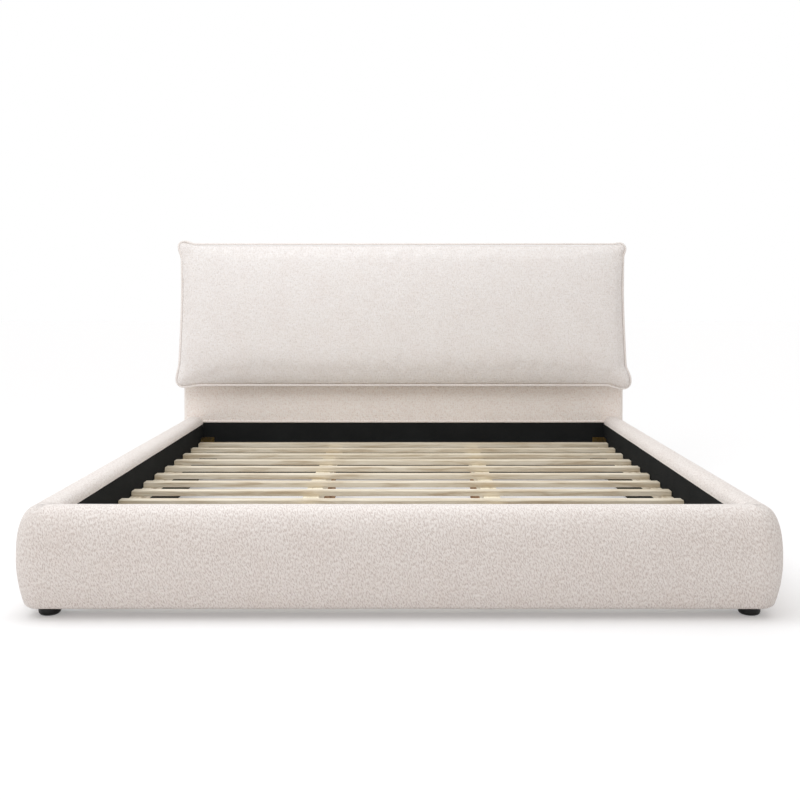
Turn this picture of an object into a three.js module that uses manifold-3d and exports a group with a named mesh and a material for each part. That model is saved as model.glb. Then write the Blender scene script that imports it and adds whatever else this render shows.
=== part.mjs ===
// King-size upholstered platform bed: padded rails, slatted base and a headboard whose big
// cushion hangs over the top and lifts off.
// Millimetres, +Z up. The origin is on the floor under the middle of the bed: X runs across
// the bed and +Y towards the headboard. The well is the space that takes the mattress.
import * as THREE from "three";
import { LoftGeometry } from "three/addons/geometries/LoftGeometry.js";
import { mergeVertices } from "three/addons/utils/BufferGeometryUtils.js";
import Module from "manifold-3d";

const wasm = await Module();
wasm.setup();

// ---------------------------------------------------------------- driving dimensions
const fit = 0.3; // clearance between pieces that touch

// mattress and the play around it
const mattressWidth = 1930;
const mattressLength = 2032;
const sidePlay = 10;
const endPlay = 11.5;

// padded rails
const footHeight = 20;
const railHeight = 288;
const railThickness = 112;
const railCornerRadius = 83; // in plan, at the fullest height
const crownRound = 28; // radius of the edge between crown and well
const crownFlat = 10; // from there to where the crown starts to fall away
const bulgePower = 2.8; // superellipse powers of the padded section
const shoulderPower = 2.53;
const coverThickness = 2.5;
const returnEdge = 8; // the cover's turned-under edge ends this far from the well
const boardThickness = 25;
const boardOverhang = 30; // end boards pass the well by this much on each side
const boardBelowLining = 12.2; // how far the board's top lies below the lining's
const liningThickness = 2;
const liningBelowRound = 6; // the lining starts this far below the rounded edge
const headLiningDrop = 27; // below the rails' crowns
const leastRadius = 4;

// headboard
const headboardInset = 18; // from the rails' outer faces to the headboard's sides
const headboardTop = 1120;
const headboardThickness = 90;
const headboardEdge = 20;
const panelThickness = 44;
const panelMargin = 29; // padding around the panel's edges
const frontPadding = 43; // cover face to the panel, above the lower block
const blockBelowLining = 13.2;
const backOpeningMargin = 25;
const backClothThickness = 1.5;
const backClothMargin = 15;
const tapeThickness = 1.5;
const tapeWidth = 50;

// hanging cushion
const cushionWaistInset = 8; // from the headboard's sides to the piping at the waist
const cushionWaist = 0.63; // the waist's share of the way up
const bottomFlare = 15;
const topFlare = 5;
const cornerReach = 12; // the ears at the four corners
const cornerRise = 8;
const cornerDrop = 12;
const cornerSharpness = 20;
const cushionRise = 18; // piping's centre line above the headboard's top
const cushionBottom = 470; // the same line along the bottom
const topSeamReach = 40; // seam's distance from the headboard's face
const bottomSeamReach = 75;
const frontBulge = 62;
const fillingPlay = 0.8; // between the cover and the filling
const edgePower = 14; // how suddenly the cushion rounds over at its sides
const fillPower = 4; // the same, at its top and bottom
const pipingRadius = 4;
const zipOpening = 700;
const zipSlot = 6;
const zipHeight = 0.12; // the zip's share of the way up the back
const flapInset = 169; // from the headboard's sides to the flap's and the tape's ends
const flapThickness = 3;
const flapDrop = 150;

// slatted base
const slatCount = 12;
const slatWidth = 40;
const slatThickness = 19;
const slatTop = 198;
const slatEndGap = 3;
const slatEase = 2;
const slatMargin = 81; // from each end of the well to the outer slats
const cleatWidth = 40;
const cleatHeight = 30;
const centreRailWidth = 60;
const centreRailHeight = 45;
const ledgerWidth = 40;
const ledgerHeight = 30;
const ledgerEndGap = 75; // from the well's sides
const woodEase = 2;
const legSize = 55;
const legInset = 465; // from each end of the well
const glideRadius = 20;
const glideHeight = 8;
const stemRadius = 4;
const stemLength = 24;
const boreDepth = 34;

// corner brackets, bolts and feet
const bracketLeg = 56;
const bracketHeight = 100;
const bracketRise = 13; // above the slats
const bracketThickness = 3;
const boltRadius = 4;
const boltHeadRadius = 8;
const boltHeadHeight = 5;
const boltLength = 26;
const boltFromSide = 30;
const boltDrop = 48; // below the slats' tops
const cornerFootRadius = 31;
const frontFootInset = 85;
const backFootInset = 45;
const footOutset = 18; // from the well's sides to the feet's centres

// steps of the curved surfaces
const bulgeSteps = 16;
const cornerSteps = 6;
const roundSteps = 4;
const roundSides = 16;
const boltSides = 10;
const pipeSides = 6;
const cushionColumns = 14;
const cushionRows = 10;
const cushionLoops = 6;

// ---------------------------------------------------------------- derived places
const wellHalf = mattressWidth / 2 + sidePlay;
const wellLength = mattressLength + 2 * endPlay;
const padInset = coverThickness + fit;
const railBottom = footHeight;
const railTop = railBottom + railHeight;
const railMiddle = railBottom + railHeight / 2;
const boardInner = liningThickness + fit;
const boardOuter = boardInner + boardThickness;
const boardBottom = railBottom + padInset;
const crownStart = crownRound + crownFlat;
const sideLiningTop = railTop - crownRound - liningBelowRound;
const boardTop = sideLiningTop - boardBelowLining;
const headLiningTop = railTop - headLiningDrop;
const headboardHalf = wellHalf + railThickness - headboardInset;
const flapHalf = headboardHalf - flapInset;
const cushionTop = headboardTop + cushionRise;
const hookTapeBack = headboardThickness + fit + backClothThickness + fit + tapeThickness;
const loopTapeFront = hookTapeBack + fit;
const flapFront = loopTapeFront + tapeThickness;
const backReach = flapFront + flapThickness;
const overallLength = railThickness + wellLength + backReach;
const footFace = railThickness - overallLength / 2; // the well's foot end
const headFace = footFace + wellLength; // the well's head end
const cushionBack = headFace - fit;
const slatBottom = slatTop - slatThickness;
const supportTop = slatBottom - fit;
const centreRailOffset = wellHalf / 3; // two rails share the well in thirds
const centreRailBottom = supportTop - centreRailHeight;
const ledgerTop = centreRailBottom - fit;

// ---------------------------------------------------------------- geometry helpers
function solid(geometry) {
  const bare = geometry.index ? geometry.toNonIndexed() : geometry.clone();
  bare.deleteAttribute("normal");
  bare.deleteAttribute("uv");
  const merged = mergeVertices(bare, 1e-4);
  const vertProperties = merged.attributes.position.array;
  const triVerts = new Uint32Array(merged.index.array);
  return new wasm.Manifold(new wasm.Mesh({ numProp: 3, vertProperties, triVerts }));
}

function geometryOf(manifold) {
  const mesh = manifold.getMesh();
  const geometry = new THREE.BufferGeometry();
  geometry.setAttribute("position", new THREE.BufferAttribute(mesh.vertProperties, 3));
  geometry.setIndex(new THREE.BufferAttribute(mesh.triVerts, 1));
  geometry.computeVertexNormals();
  return geometry;
}

// What is left of the first geometry when the others are cut away.
function cut(first, ...others) {
  return geometryOf(others.reduce((left, next) => left.subtract(solid(next)), solid(first)));
}

function join(first, second) {
  return geometryOf(solid(first).add(solid(second)));
}

function block(x0, x1, y0, y1, z0, z1) {
  const box = new THREE.BoxGeometry(x1 - x0, y1 - y0, z1 - z0);
  return box.translate((x0 + x1) / 2, (y0 + y1) / 2, (z0 + z1) / 2);
}

// A block with every edge eased: the bevel grows a smaller rectangle back to full size.
function easedBlock(x0, x1, y0, y1, z0, z1, ease, bevelSegments = 1) {
  const outline = new THREE.Shape([
    new THREE.Vector2(x0 + ease, y0 + ease),
    new THREE.Vector2(x1 - ease, y0 + ease),
    new THREE.Vector2(x1 - ease, y1 - ease),
    new THREE.Vector2(x0 + ease, y1 - ease),
  ]);
  const depth = z1 - z0 - 2 * ease;
  const bevel = { bevelSize: ease, bevelThickness: ease, bevelSegments };
  return new THREE.ExtrudeGeometry(outline, { depth, ...bevel }).translate(0, 0, z0 + ease);
}

// A section of (x, z) points drawn out along Y.
function alongY(section, y0, y1) {
  const shape = new THREE.Shape(section);
  const bar = new THREE.ExtrudeGeometry(shape, { depth: y1 - y0, bevelEnabled: false });
  return bar.rotateX(Math.PI / 2).translate(0, y1, 0);
}

// A section of (y, z) points drawn out along X, evenly to both sides of the middle.
function alongX(section, halfLength) {
  const shape = new THREE.Shape(section);
  const bar = new THREE.ExtrudeGeometry(shape, { depth: 2 * halfLength, bevelEnabled: false });
  const turn = new THREE.Matrix4().makeBasis(
    new THREE.Vector3(0, 1, 0),
    new THREE.Vector3(0, 0, 1),
    new THREE.Vector3(1, 0, 0),
  );
  return bar.applyMatrix4(turn).translate(-halfLength, 0, 0);
}

function capped(sections) {
  return new LoftGeometry(sections, { capStart: true, capEnd: true });
}

// A turned piece from (radius, height) points, its axis along Z.
function turned(profile, sides) {
  const points = profile.map(([radius, height]) => new THREE.Vector2(radius, height));
  return new THREE.LatheGeometry(points, sides);
}

// ---------------------------------------------------------------- materials
const finish = (name, color, roughness, metalness = 0) =>
  new THREE.MeshStandardMaterial({ name, color, roughness, metalness });
const cream = finish("cream_boucle", 0xded6d0, 0.95);
const black = finish("black_lining", 0x1c1c1c, 0.9);
const foamYellow = finish("foam", 0xe9e2c4, 0.9);
const fibre = finish("cushion_fibre", 0xf2f1ee, 0.95);
const plywood = finish("plywood", 0xcaa878, 0.7);
const poplar = finish("pale_slat_wood", 0xe2d6bd, 0.6);
const pine = finish("yellow_pine", 0xd9bd84, 0.6);
const brownWood = finish("brown_leg_wood", 0x917664, 0.6);
const zincPlate = finish("yellow_zinc", 0x8c7440, 0.4, 0.9);
const blackPlastic = finish("black_plastic", 0x1a1a1a, 0.5);
const hookTape = finish("hook_tape", 0xd8d2c8, 0.9);

// ---------------------------------------------------------------- assembly
const bed = new THREE.Group();
bed.name = "upholstered_bed";

function add(name, geometry, material, parent = bed) {
  const mesh = new THREE.Mesh(geometry, material);
  mesh.name = name;
  parent.add(mesh);
  return mesh;
}

const sides = [
  { name: "left", sign: -1 },
  { name: "right", sign: 1 },
];
// The two ends of the well: outward points from the well into the end board.
const ends = [
  { name: "foot", face: footFace, outward: -1 },
  { name: "head", face: headFace, outward: 1 },
];

// A block given by how far it goes from an end face of the well, outwards.
function endBlock(end, halfWidth, from, to, z0, z1) {
  const near = end.face + end.outward * from;
  const far = end.face + end.outward * to;
  return block(-halfWidth, halfWidth, Math.min(near, far), Math.max(near, far), z0, z1);
}

// ---------------------------------------------------------------- padded rails
// Outer side of a rail's section, from its underside up over the bulge to the crown: x is
// the distance out from the well and y the height. The inset gives the layers beneath.
function bulge(inset) {
  const points = [];
  for (let i = 0; i <= bulgeSteps; i++) {
    const t = (Math.PI * i) / bulgeSteps - Math.PI / 2;
    const out = Math.max(Math.cos(t), 0) ** (2 / bulgePower);
    const up = Math.sign(t) * Math.abs(Math.sin(t)) ** (2 / shoulderPower);
    const u = crownStart + (railThickness - crownStart - inset) * out;
    points.push(new THREE.Vector2(u, railMiddle + (railHeight / 2 - inset) * up));
  }
  return points;
}

// The rounded edge between crown and well, from the crown down to the inner face.
function innerRound(inset) {
  const points = [];
  for (let i = 0; i <= roundSteps; i++) {
    const t = (Math.PI / 2) * (i / roundSteps);
    const u = crownRound - (crownRound - inset) * Math.sin(t);
    points.push(new THREE.Vector2(u, railTop - crownRound + (crownRound - inset) * Math.cos(t)));
  }
  return points;
}

const point = (x, y) => new THREE.Vector2(x, y);

const coverSection = [
  point(returnEdge, railBottom),
  ...bulge(0),
  ...innerRound(0),
  point(0, sideLiningTop + fit),
  point(coverThickness, sideLiningTop + fit),
  ...innerRound(coverThickness).reverse(),
  ...bulge(coverThickness).reverse(),
  point(returnEdge, railBottom + coverThickness),
];

const foamSection = [
  point(boardOuter + fit, boardBottom),
  ...bulge(padInset),
  ...innerRound(padInset),
  point(padInset, boardTop + fit),
  point(boardOuter + fit, boardTop + fit),
];

for (const { name, sign } of sides) {
  const placed = (section) => section.map(({ x, y }) => point(sign * (wellHalf + x), y));
  const rail = (section) => alongY(placed(section), footFace + fit, headFace - fit);
  const slab = (inner, outer, z0, z1) =>
    rail([point(inner, z0), point(outer, z0), point(outer, z1), point(inner, z1)]);
  add(`${name}_rail_cover`, rail(coverSection), cream);
  add(`${name}_rail_foam`, rail(foamSection), foamYellow);
  add(`${name}_rail_board`, slab(boardInner, boardOuter, boardBottom, boardTop), plywood);
  add(`${name}_rail_lining`, slab(0, liningThickness, railBottom, sideLiningTop), black);
}

// The foot rail's padding as a stack of plan outlines with rounded front corners.
function footRailBody(inset, backReachOut) {
  return capped(
    bulge(inset).map(({ x: out, y: z }) => {
      const half = wellHalf + out;
      const front = footFace - out;
      const radius = Math.max(railCornerRadius - (railThickness - out), leastRadius);
      const back = footFace + backReachOut;
      const ring = [new THREE.Vector3(half, back, z), new THREE.Vector3(-half, back, z)];
      for (const side of [-1, 1])
        for (let i = 0; i <= cornerSteps; i++) {
          const t = Math.PI * (side < 0 ? 1 : 1.5) + (Math.PI / 2) * (i / cornerSteps);
          const x = side * (half - radius) + radius * Math.cos(t);
          ring.push(new THREE.Vector3(x, front + radius + radius * Math.sin(t), z));
        }
      return ring;
    }),
  );
}

// The well with its rounded upper edge, as a cutter for the foot rail's crown.
function wellCutter(inset, fromHeight) {
  const past = railThickness;
  const round = innerRound(inset).reverse();
  const levels = [point(inset, fromHeight), ...round, point(crownRound, railTop + past)];
  return capped(
    levels.map(({ x: out, y: z }) => {
      const half = wellHalf + out;
      return [
        new THREE.Vector3(half, footFace - out, z),
        new THREE.Vector3(half, footFace + past, z),
        new THREE.Vector3(-half, footFace + past, z),
        new THREE.Vector3(-half, footFace - out, z),
      ];
    }),
  );
}

// Bolts go through the bracket, the lining and the end board.
const boltX = wellHalf - boltFromSide;
const boltHeightUp = slatTop - boltDrop;

function boltHole(end, sign) {
  const length = 2 * (boltLength + boltHeadHeight);
  const hole = new THREE.CylinderGeometry(boltRadius + fit, boltRadius + fit, length, boltSides);
  return hole.translate(sign * boltX, end.face, boltHeightUp);
}

const holesIn = (end) => sides.map(({ sign }) => boltHole(end, sign));

const foot = ends[0];
const head = ends[1];
const footCore = cut(
  footRailBody(coverThickness, railThickness),
  wellCutter(coverThickness, sideLiningTop + fit),
);
add(
  "foot_rail_cover",
  cut(
    footRailBody(0, 0),
    wellCutter(0, sideLiningTop),
    footCore,
    endBlock(foot, wellHalf, -railThickness, returnEdge, 0, sideLiningTop + fit),
  ),
  cream,
);
add(
  "foot_rail_foam",
  cut(
    footRailBody(padInset, 0),
    wellCutter(padInset, boardTop),
    endBlock(
      foot,
      wellHalf + boardOverhang + fit,
      -railThickness,
      boardOuter + fit,
      0,
      boardTop + fit,
    ),
  ),
  foamYellow,
);
add(
  "foot_rail_board",
  cut(
    endBlock(foot, wellHalf + boardOverhang, boardInner, boardOuter, boardBottom, boardTop),
    ...holesIn(foot),
  ),
  plywood,
);
add(
  "foot_rail_lining",
  cut(
    endBlock(foot, wellHalf - fit, 0, liningThickness, railBottom, sideLiningTop),
    ...holesIn(foot),
  ),
  black,
);

// ---------------------------------------------------------------- headboard
const panelHalf = headboardHalf - panelMargin;
const panelTop = headboardTop - panelMargin;
const panelBack = frontPadding + fit + panelThickness;
const lowerHalf = wellHalf + boardOverhang;
const lowerTop = headLiningTop - blockBelowLining;

// The upholstered slab with softened edges, and the smaller slabs beneath its cover. It is
// made longer at the bottom and sawn off square there.
function headboardSlab(inset, bottom) {
  const slab = easedBlock(
    -headboardHalf + inset,
    headboardHalf - inset,
    headFace + inset,
    headFace + headboardThickness - inset,
    -headboardEdge,
    headboardTop - inset,
    headboardEdge - inset,
    roundSteps,
  );
  const past = 2 * headboardHalf;
  return cut(slab, endBlock(head, past, -past, past, -past, bottom));
}

add(
  "headboard_cover",
  cut(
    headboardSlab(0, railBottom),
    headboardSlab(coverThickness, 0),
    endBlock(
      head,
      headboardHalf - backOpeningMargin,
      frontPadding,
      2 * headboardThickness,
      railBottom + backOpeningMargin,
      headboardTop - backOpeningMargin,
    ),
    endBlock(head, wellHalf, -coverThickness, frontPadding, 0, headLiningTop + fit),
  ),
  cream,
);

function headboardFrame(play, depth) {
  return join(
    endBlock(
      head,
      panelHalf + play,
      frontPadding + fit - play,
      panelBack + depth,
      boardBottom - depth,
      panelTop + play,
    ),
    endBlock(
      head,
      lowerHalf + play,
      padInset - depth,
      panelBack,
      boardBottom - depth,
      lowerTop + play,
    ),
  );
}

add(
  "headboard_foam",
  cut(
    headboardSlab(padInset, boardBottom),
    headboardFrame(fit, headboardEdge),
    endBlock(head, wellHalf, -fit, padInset, 0, headLiningTop + fit),
  ),
  foamYellow,
);
add("headboard_frame", cut(headboardFrame(0, 0), ...holesIn(head)), plywood);
add(
  "head_lining",
  cut(
    endBlock(head, wellHalf - fit, 0, liningThickness, railBottom, headLiningTop),
    ...holesIn(head),
  ),
  black,
);

const clothFront = headboardThickness + fit;
const clothBack = clothFront + backClothThickness;
add(
  "headboard_back_cloth",
  endBlock(
    head,
    headboardHalf - backClothMargin,
    clothFront,
    clothBack,
    railBottom + backClothMargin,
    headboardTop - backClothMargin,
  ),
  black,
);

const flapUnder = headboardTop + fit;
const flapBottom = flapUnder - flapDrop;
add(
  "headboard_hook_tape",
  endBlock(
    head,
    flapHalf,
    clothBack + fit,
    hookTapeBack,
    flapBottom,
    flapBottom + tapeWidth,
  ),
  hookTape,
);

// ---------------------------------------------------------------- hanging cushion
const cushion = new THREE.Group();
cushion.name = "cushion";
bed.add(cushion);

const seamBottom = cushionBottom + pipingRadius + fit;
const seamTop = cushionTop - pipingRadius - fit;

// A point of the seam's surface: a runs -1 to 1 across the cushion and b from 0 to 1 up it.
function seamPoint(a, b, inset = 0) {
  const away = b < cushionWaist ? 1 - b / cushionWaist : (b - cushionWaist) / (1 - cushionWaist);
  const flare = (b < cushionWaist ? bottomFlare : topFlare) * away ** 1.5;
  const half = headboardHalf - cushionWaistInset - 2 * pipingRadius - fit + flare - inset;
  const ear = (Math.abs(a) * Math.abs(2 * b - 1)) ** cornerSharpness;
  const low = seamBottom + inset;
  const height = low + b * (seamTop - inset - low);
  const reach = bottomSeamReach + b * (topSeamReach - bottomSeamReach);
  return new THREE.Vector3(
    a * half + Math.sign(a) * cornerReach * ear,
    headFace - reach,
    height + ear * (b > 0.5 ? cornerRise : -cornerDrop),
  );
}

// How full the cushion is at that place, from 0 on the seam to 1 in the middle.
function fullness(a, b) {
  const across = Math.sqrt(1 - Math.abs(a) ** edgePower);
  const up = Math.sqrt(1 - Math.abs(2 * b - 1) ** fillPower);
  return across * up;
}

// Places around the cushion's edge, closer together towards the corners.
function edgePlaces() {
  const ease = (i, count) => (1 - Math.cos((Math.PI * i) / count)) / 2;
  const places = [];
  for (let i = 0; i < cushionColumns; i++) places.push([2 * ease(i, cushionColumns) - 1, 0]);
  for (let i = 0; i < cushionRows; i++) places.push([1, ease(i, cushionRows)]);
  for (let i = 0; i < cushionColumns; i++) places.push([1 - 2 * ease(i, cushionColumns), 1]);
  for (let i = 0; i < cushionRows; i++) places.push([-1, 1 - ease(i, cushionRows)]);
  return places;
}

// The cushion's outside as loops that grow from the middle of its back to the seam and
// shrink again to the middle of its front. It bulges to the front and lies flat behind.
function cushionBody(inset) {
  const shares = [];
  for (let i = 1; i < cushionLoops; i++) shares.push(Math.sin((Math.PI / 2) * (i / cushionLoops)));
  const loop = (share, side) =>
    edgePlaces().map(([edgeA, edgeB]) => {
      const a = share * edgeA;
      const b = 0.5 + share * (edgeB - 0.5);
      const seam = seamPoint(a, b, inset);
      const depth = side < 0 ? inset - frontBulge : cushionBack - inset - seam.y;
      return seam.setY(seam.y + depth * fullness(a, b) * Math.abs(side));
    });
  return capped([
    ...shares.map((share) => loop(share, 1)),
    loop(1, 0),
    ...shares.reverse().map((share) => loop(share, -1)),
  ]);
}

const zipAt = seamPoint(0, zipHeight).z;
add(
  "cushion_cover",
  cut(
    cushionBody(0),
    cushionBody(coverThickness),
    endBlock(head, zipOpening / 2, -topSeamReach, 0, zipAt, zipAt + zipSlot),
  ),
  cream,
  cushion,
);
add("cushion_filling", cushionBody(coverThickness + fillingPlay), fibre, cushion);

// Piping: a round cord that runs all the way along the seam.
function pipingLoop() {
  const middle = seamPoint(0, 0.5);
  const path = edgePlaces().map(([a, b]) => seamPoint(a, b));
  const rings = path.map((at, i) => {
    const before = path[(i + path.length - 1) % path.length];
    const after = path[(i + 1) % path.length];
    const incoming = at.clone().sub(before).normalize();
    const outgoing = after.clone().sub(at).normalize();
    const along = incoming.clone().add(outgoing).normalize();
    const forward = new THREE.Vector3(0, -1, 0).projectOnPlane(along).normalize();
    const outward = new THREE.Vector3().crossVectors(along, forward).normalize();
    if (outward.dot(at.clone().sub(middle)) < 0) outward.negate();
    const mitre = 1 / Math.sqrt((1 + incoming.dot(outgoing)) / 2);
    const centre = at.clone().addScaledVector(outward, (pipingRadius + fit) * mitre);
    const ring = [];
    for (let k = 0; k < pipeSides; k++) {
      const t = (-2 * Math.PI * (k + 0.5)) / pipeSides;
      const spot = centre.clone().addScaledVector(outward, pipingRadius * mitre * Math.cos(t));
      ring.push(spot.addScaledVector(forward, pipingRadius * Math.sin(t)));
    }
    return ring;
  });
  return new LoftGeometry([...rings, rings[0]]);
}
add("cushion_piping", pipingLoop(), cream, cushion);

// The flap is sewn to the cushion behind its top seam, lies over the headboard's top and
// hangs down the back, where its loop tape grips the hook tape.
function flapSection() {
  const drop = flapThickness;
  const frontZ = seamTop - pipingRadius;
  const b = (frontZ - seamBottom) / (seamTop - seamBottom);
  const seam = seamPoint(0, b);
  const frontY = seam.y + (cushionBack - seam.y) * fullness(0, b) + 2 * fit;
  return [
    point(frontY, frontZ),
    point(headFace, flapUnder),
    point(headFace + flapFront, flapUnder),
    point(headFace + flapFront, flapBottom + tapeWidth),
    point(headFace + loopTapeFront, flapBottom + tapeWidth),
    point(headFace + loopTapeFront, flapBottom),
    point(headFace + backReach, flapBottom),
    point(headFace + backReach, flapUnder + drop / 2),
    point(headFace + flapFront + drop / 2, flapUnder + drop),
    point(headFace, flapUnder + drop),
    point(frontY, frontZ + drop),
  ];
}
add("cushion_flap", alongX(flapSection(), flapHalf), cream, cushion);

// ---------------------------------------------------------------- slatted base
const slatHalf = wellHalf - slatEndGap;
const firstSlat = footFace + slatMargin + slatWidth / 2;
const slatPitch = (wellLength - 2 * slatMargin - slatWidth) / (slatCount - 1);
for (let i = 0; i < slatCount; i++) {
  const y = firstSlat + i * slatPitch;
  const slat = easedBlock(
    -slatHalf,
    slatHalf,
    y - slatWidth / 2,
    y + slatWidth / 2,
    slatBottom,
    slatTop,
    slatEase,
  );
  add(`slat_${String(i + 1).padStart(2, "0")}`, slat, poplar);
}

const cleatEnd = bracketLeg + 2 * woodEase;
for (const { name, sign } of sides) {
  const faces = [sign * (wellHalf - fit), sign * (wellHalf - fit - cleatWidth)];
  add(
    `${name}_slat_cleat`,
    easedBlock(
      Math.min(...faces),
      Math.max(...faces),
      footFace + cleatEnd,
      headFace - cleatEnd,
      supportTop - cleatHeight,
      supportTop,
      woodEase,
    ),
    poplar,
  );
}

for (const end of ends) {
  const near = end.face - end.outward * fit;
  const far = near - end.outward * ledgerWidth;
  add(
    `${end.name}_ledger`,
    easedBlock(
      ledgerEndGap - wellHalf,
      wellHalf - ledgerEndGap,
      Math.min(near, far),
      Math.max(near, far),
      ledgerTop - ledgerHeight,
      ledgerTop,
      woodEase,
    ),
    pine,
  );
}

const legBottom = glideHeight + fit;
const legTop = centreRailBottom - fit;

function centreLeg(x, y) {
  const half = legSize / 2;
  const bore = stemRadius + fit;
  const post = easedBlock(x - half, x + half, y - half, y + half, legBottom, legTop, woodEase);
  const hole = new THREE.CylinderGeometry(bore, bore, 2 * boreDepth, boltSides);
  return cut(post, hole.rotateX(Math.PI / 2).translate(x, y, legBottom));
}

const glideProfile = [
  [0, 0],
  [glideRadius - woodEase, 0],
  [glideRadius, woodEase],
  [glideRadius, glideHeight],
  [stemRadius, glideHeight],
  [stemRadius, glideHeight + stemLength],
  [0, glideHeight + stemLength],
];

for (const { name, sign } of sides) {
  const x = sign * centreRailOffset;
  const half = centreRailWidth / 2;
  add(
    `${name}_centre_rail`,
    easedBlock(
      x - half,
      x + half,
      footFace + fit,
      headFace - fit,
      centreRailBottom,
      supportTop,
      woodEase,
    ),
    pine,
  );
  for (const end of ends) {
    const y = end.face - end.outward * legInset;
    add(`${end.name}_${name}_leg`, centreLeg(x, y), brownWood);
    const glide = turned(glideProfile, roundSides).rotateX(Math.PI / 2);
    add(`${end.name}_${name}_glide`, glide, blackPlastic).position.set(x, y, 0);
  }
}

// ---------------------------------------------------------------- brackets, bolts, feet
function cornerBracket(end, sign) {
  const inner = wellHalf - fit;
  const onEnd = [end.face - end.outward * fit, end.face - end.outward * (fit + bracketThickness)];
  const onSide = [sign * inner, sign * (inner - bracketThickness)];
  const reachX = [sign * inner, sign * (inner - bracketLeg)];
  const reachY = [onEnd[0], end.face - end.outward * (fit + bracketLeg)];
  const span = (pair) => [Math.min(...pair), Math.max(...pair)];
  const top = slatTop + bracketRise;
  const low = top - bracketHeight;
  const endLeg = block(...span(reachX), ...span(onEnd), low, top);
  const sideLeg = block(...span(onSide), ...span(reachY), low, top);
  return cut(join(endLeg, sideLeg), boltHole(end, sign));
}

const boltProfile = [
  [0, -boltHeadHeight],
  [boltHeadRadius - 1, -boltHeadHeight],
  [boltHeadRadius, 1 - boltHeadHeight],
  [boltHeadRadius, 0],
  [boltRadius, 0],
  [boltRadius, boltLength],
  [0, boltLength],
];

for (const end of ends)
  for (const { name, sign } of sides) {
    add(`${end.name}_${name}_bracket`, cornerBracket(end, sign), zincPlate);
    const bolt = add(`${end.name}_${name}_bolt`, turned(boltProfile, boltSides), zincPlate);
    bolt.rotation.z = end.outward > 0 ? 0 : Math.PI;
    bolt.position.set(
      sign * boltX,
      end.face - end.outward * (bracketThickness + 2 * fit),
      boltHeightUp,
    );
  }

// The front feet are nailed up under the rail's cover, the back ones under the bare frame.
const cornerFootProfile = (top) => [
  [0, 0],
  [cornerFootRadius - 9, 0],
  [cornerFootRadius - 3, 3],
  [cornerFootRadius, footHeight / 2],
  [cornerFootRadius, top - fit],
  [0, top - fit],
];
const footRows = [
  { name: "front", y: footFace - railThickness + frontFootInset, top: railBottom },
  { name: "back", y: headFace + headboardThickness - backFootInset, top: boardBottom },
];
for (const { name: row, y, top } of footRows)
  for (const { name, sign } of sides) {
    const disc = turned(cornerFootProfile(top), roundSides).rotateX(Math.PI / 2);
    add(`${row}_${name}_foot`, disc, blackPlastic).position.set(sign * (wellHalf + footOutset), y, 0);
  }

export default bed;
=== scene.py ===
import math

import bpy
import numpy as np
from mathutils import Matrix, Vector, noise


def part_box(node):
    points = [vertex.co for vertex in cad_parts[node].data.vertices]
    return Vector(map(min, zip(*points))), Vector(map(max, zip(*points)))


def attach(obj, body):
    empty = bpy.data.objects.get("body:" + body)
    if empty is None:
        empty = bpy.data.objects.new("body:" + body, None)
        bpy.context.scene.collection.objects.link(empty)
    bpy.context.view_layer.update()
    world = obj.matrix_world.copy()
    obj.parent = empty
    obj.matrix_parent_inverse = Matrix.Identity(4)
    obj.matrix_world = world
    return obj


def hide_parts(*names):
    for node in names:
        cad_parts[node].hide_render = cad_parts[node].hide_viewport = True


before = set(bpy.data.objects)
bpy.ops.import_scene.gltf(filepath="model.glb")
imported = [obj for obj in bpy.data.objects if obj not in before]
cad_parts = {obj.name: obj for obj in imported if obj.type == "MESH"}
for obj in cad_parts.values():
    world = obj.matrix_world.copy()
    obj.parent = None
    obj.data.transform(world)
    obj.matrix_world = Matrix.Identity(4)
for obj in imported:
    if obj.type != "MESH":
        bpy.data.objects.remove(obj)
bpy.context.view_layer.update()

# %% [markdown]
# The faces that everything else lines up with are read from the measured pieces. The well
# is the space that takes the mattress: its linings give its foot end, its head end and
# its half width.
# %% Read the places that the pieces share
MM = 0.001
foot_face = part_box("foot_rail_lining")[1].y
head_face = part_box("head_lining")[0].y
well_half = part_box("right_rail_lining")[0].x
lining_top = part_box("foot_rail_lining")[1].z
head_lining_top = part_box("head_lining")[1].z
rail_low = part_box("foot_rail_cover")[0].z
rail_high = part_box("foot_rail_cover")[1].z
rail_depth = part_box("right_rail_cover")[1].x - well_half
print("well", round(2 * well_half, 3), "by", round(head_face - foot_face, 3), "m")

# %% [markdown]
# The bed is looked at from the foot end at half of a standing person's height, level, with
# the lens moved down instead of the camera tilted. That keeps upright edges upright.
# %% Set up the camera
EYE_DISTANCE = 5.009
EYE_HEIGHT = 0.9085
EYE_ASIDE = 0.027
LENS = 46.36
LENS_ASIDE, LENS_DOWN = -0.01125, -0.133
camera_data = bpy.data.cameras.new("camera")
camera_data.sensor_width = 36
camera_data.lens = LENS
camera_data.shift_x = LENS_ASIDE
camera_data.shift_y = LENS_DOWN
camera_data.clip_end = 100
camera = bpy.data.objects.new("camera", camera_data)
camera.location = (EYE_ASIDE, head_face - EYE_DISTANCE, EYE_HEIGHT)
camera.rotation_euler = (math.radians(90), 0, 0)
bpy.context.scene.collection.objects.link(camera)
bpy.context.scene.camera = camera
print("camera at", [round(part, 3) for part in camera.location])

# %% [markdown]
# ## A plain white studio
# Lights and finishes are trees of nodes. One helper adds a node with its settings and its
# inputs, which are numbers or other nodes' outputs. Sums get a helper of their own.
# %% Helpers for node trees
def give(tree, node, inputs):
    """Sets a node's inputs to numbers, or links them to other nodes' outputs."""
    for key, value in dict(inputs).items():
        if isinstance(value, bpy.types.NodeSocket):
            tree.links.new(value, node.inputs[key])
        else:
            node.inputs[key].default_value = value


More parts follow.
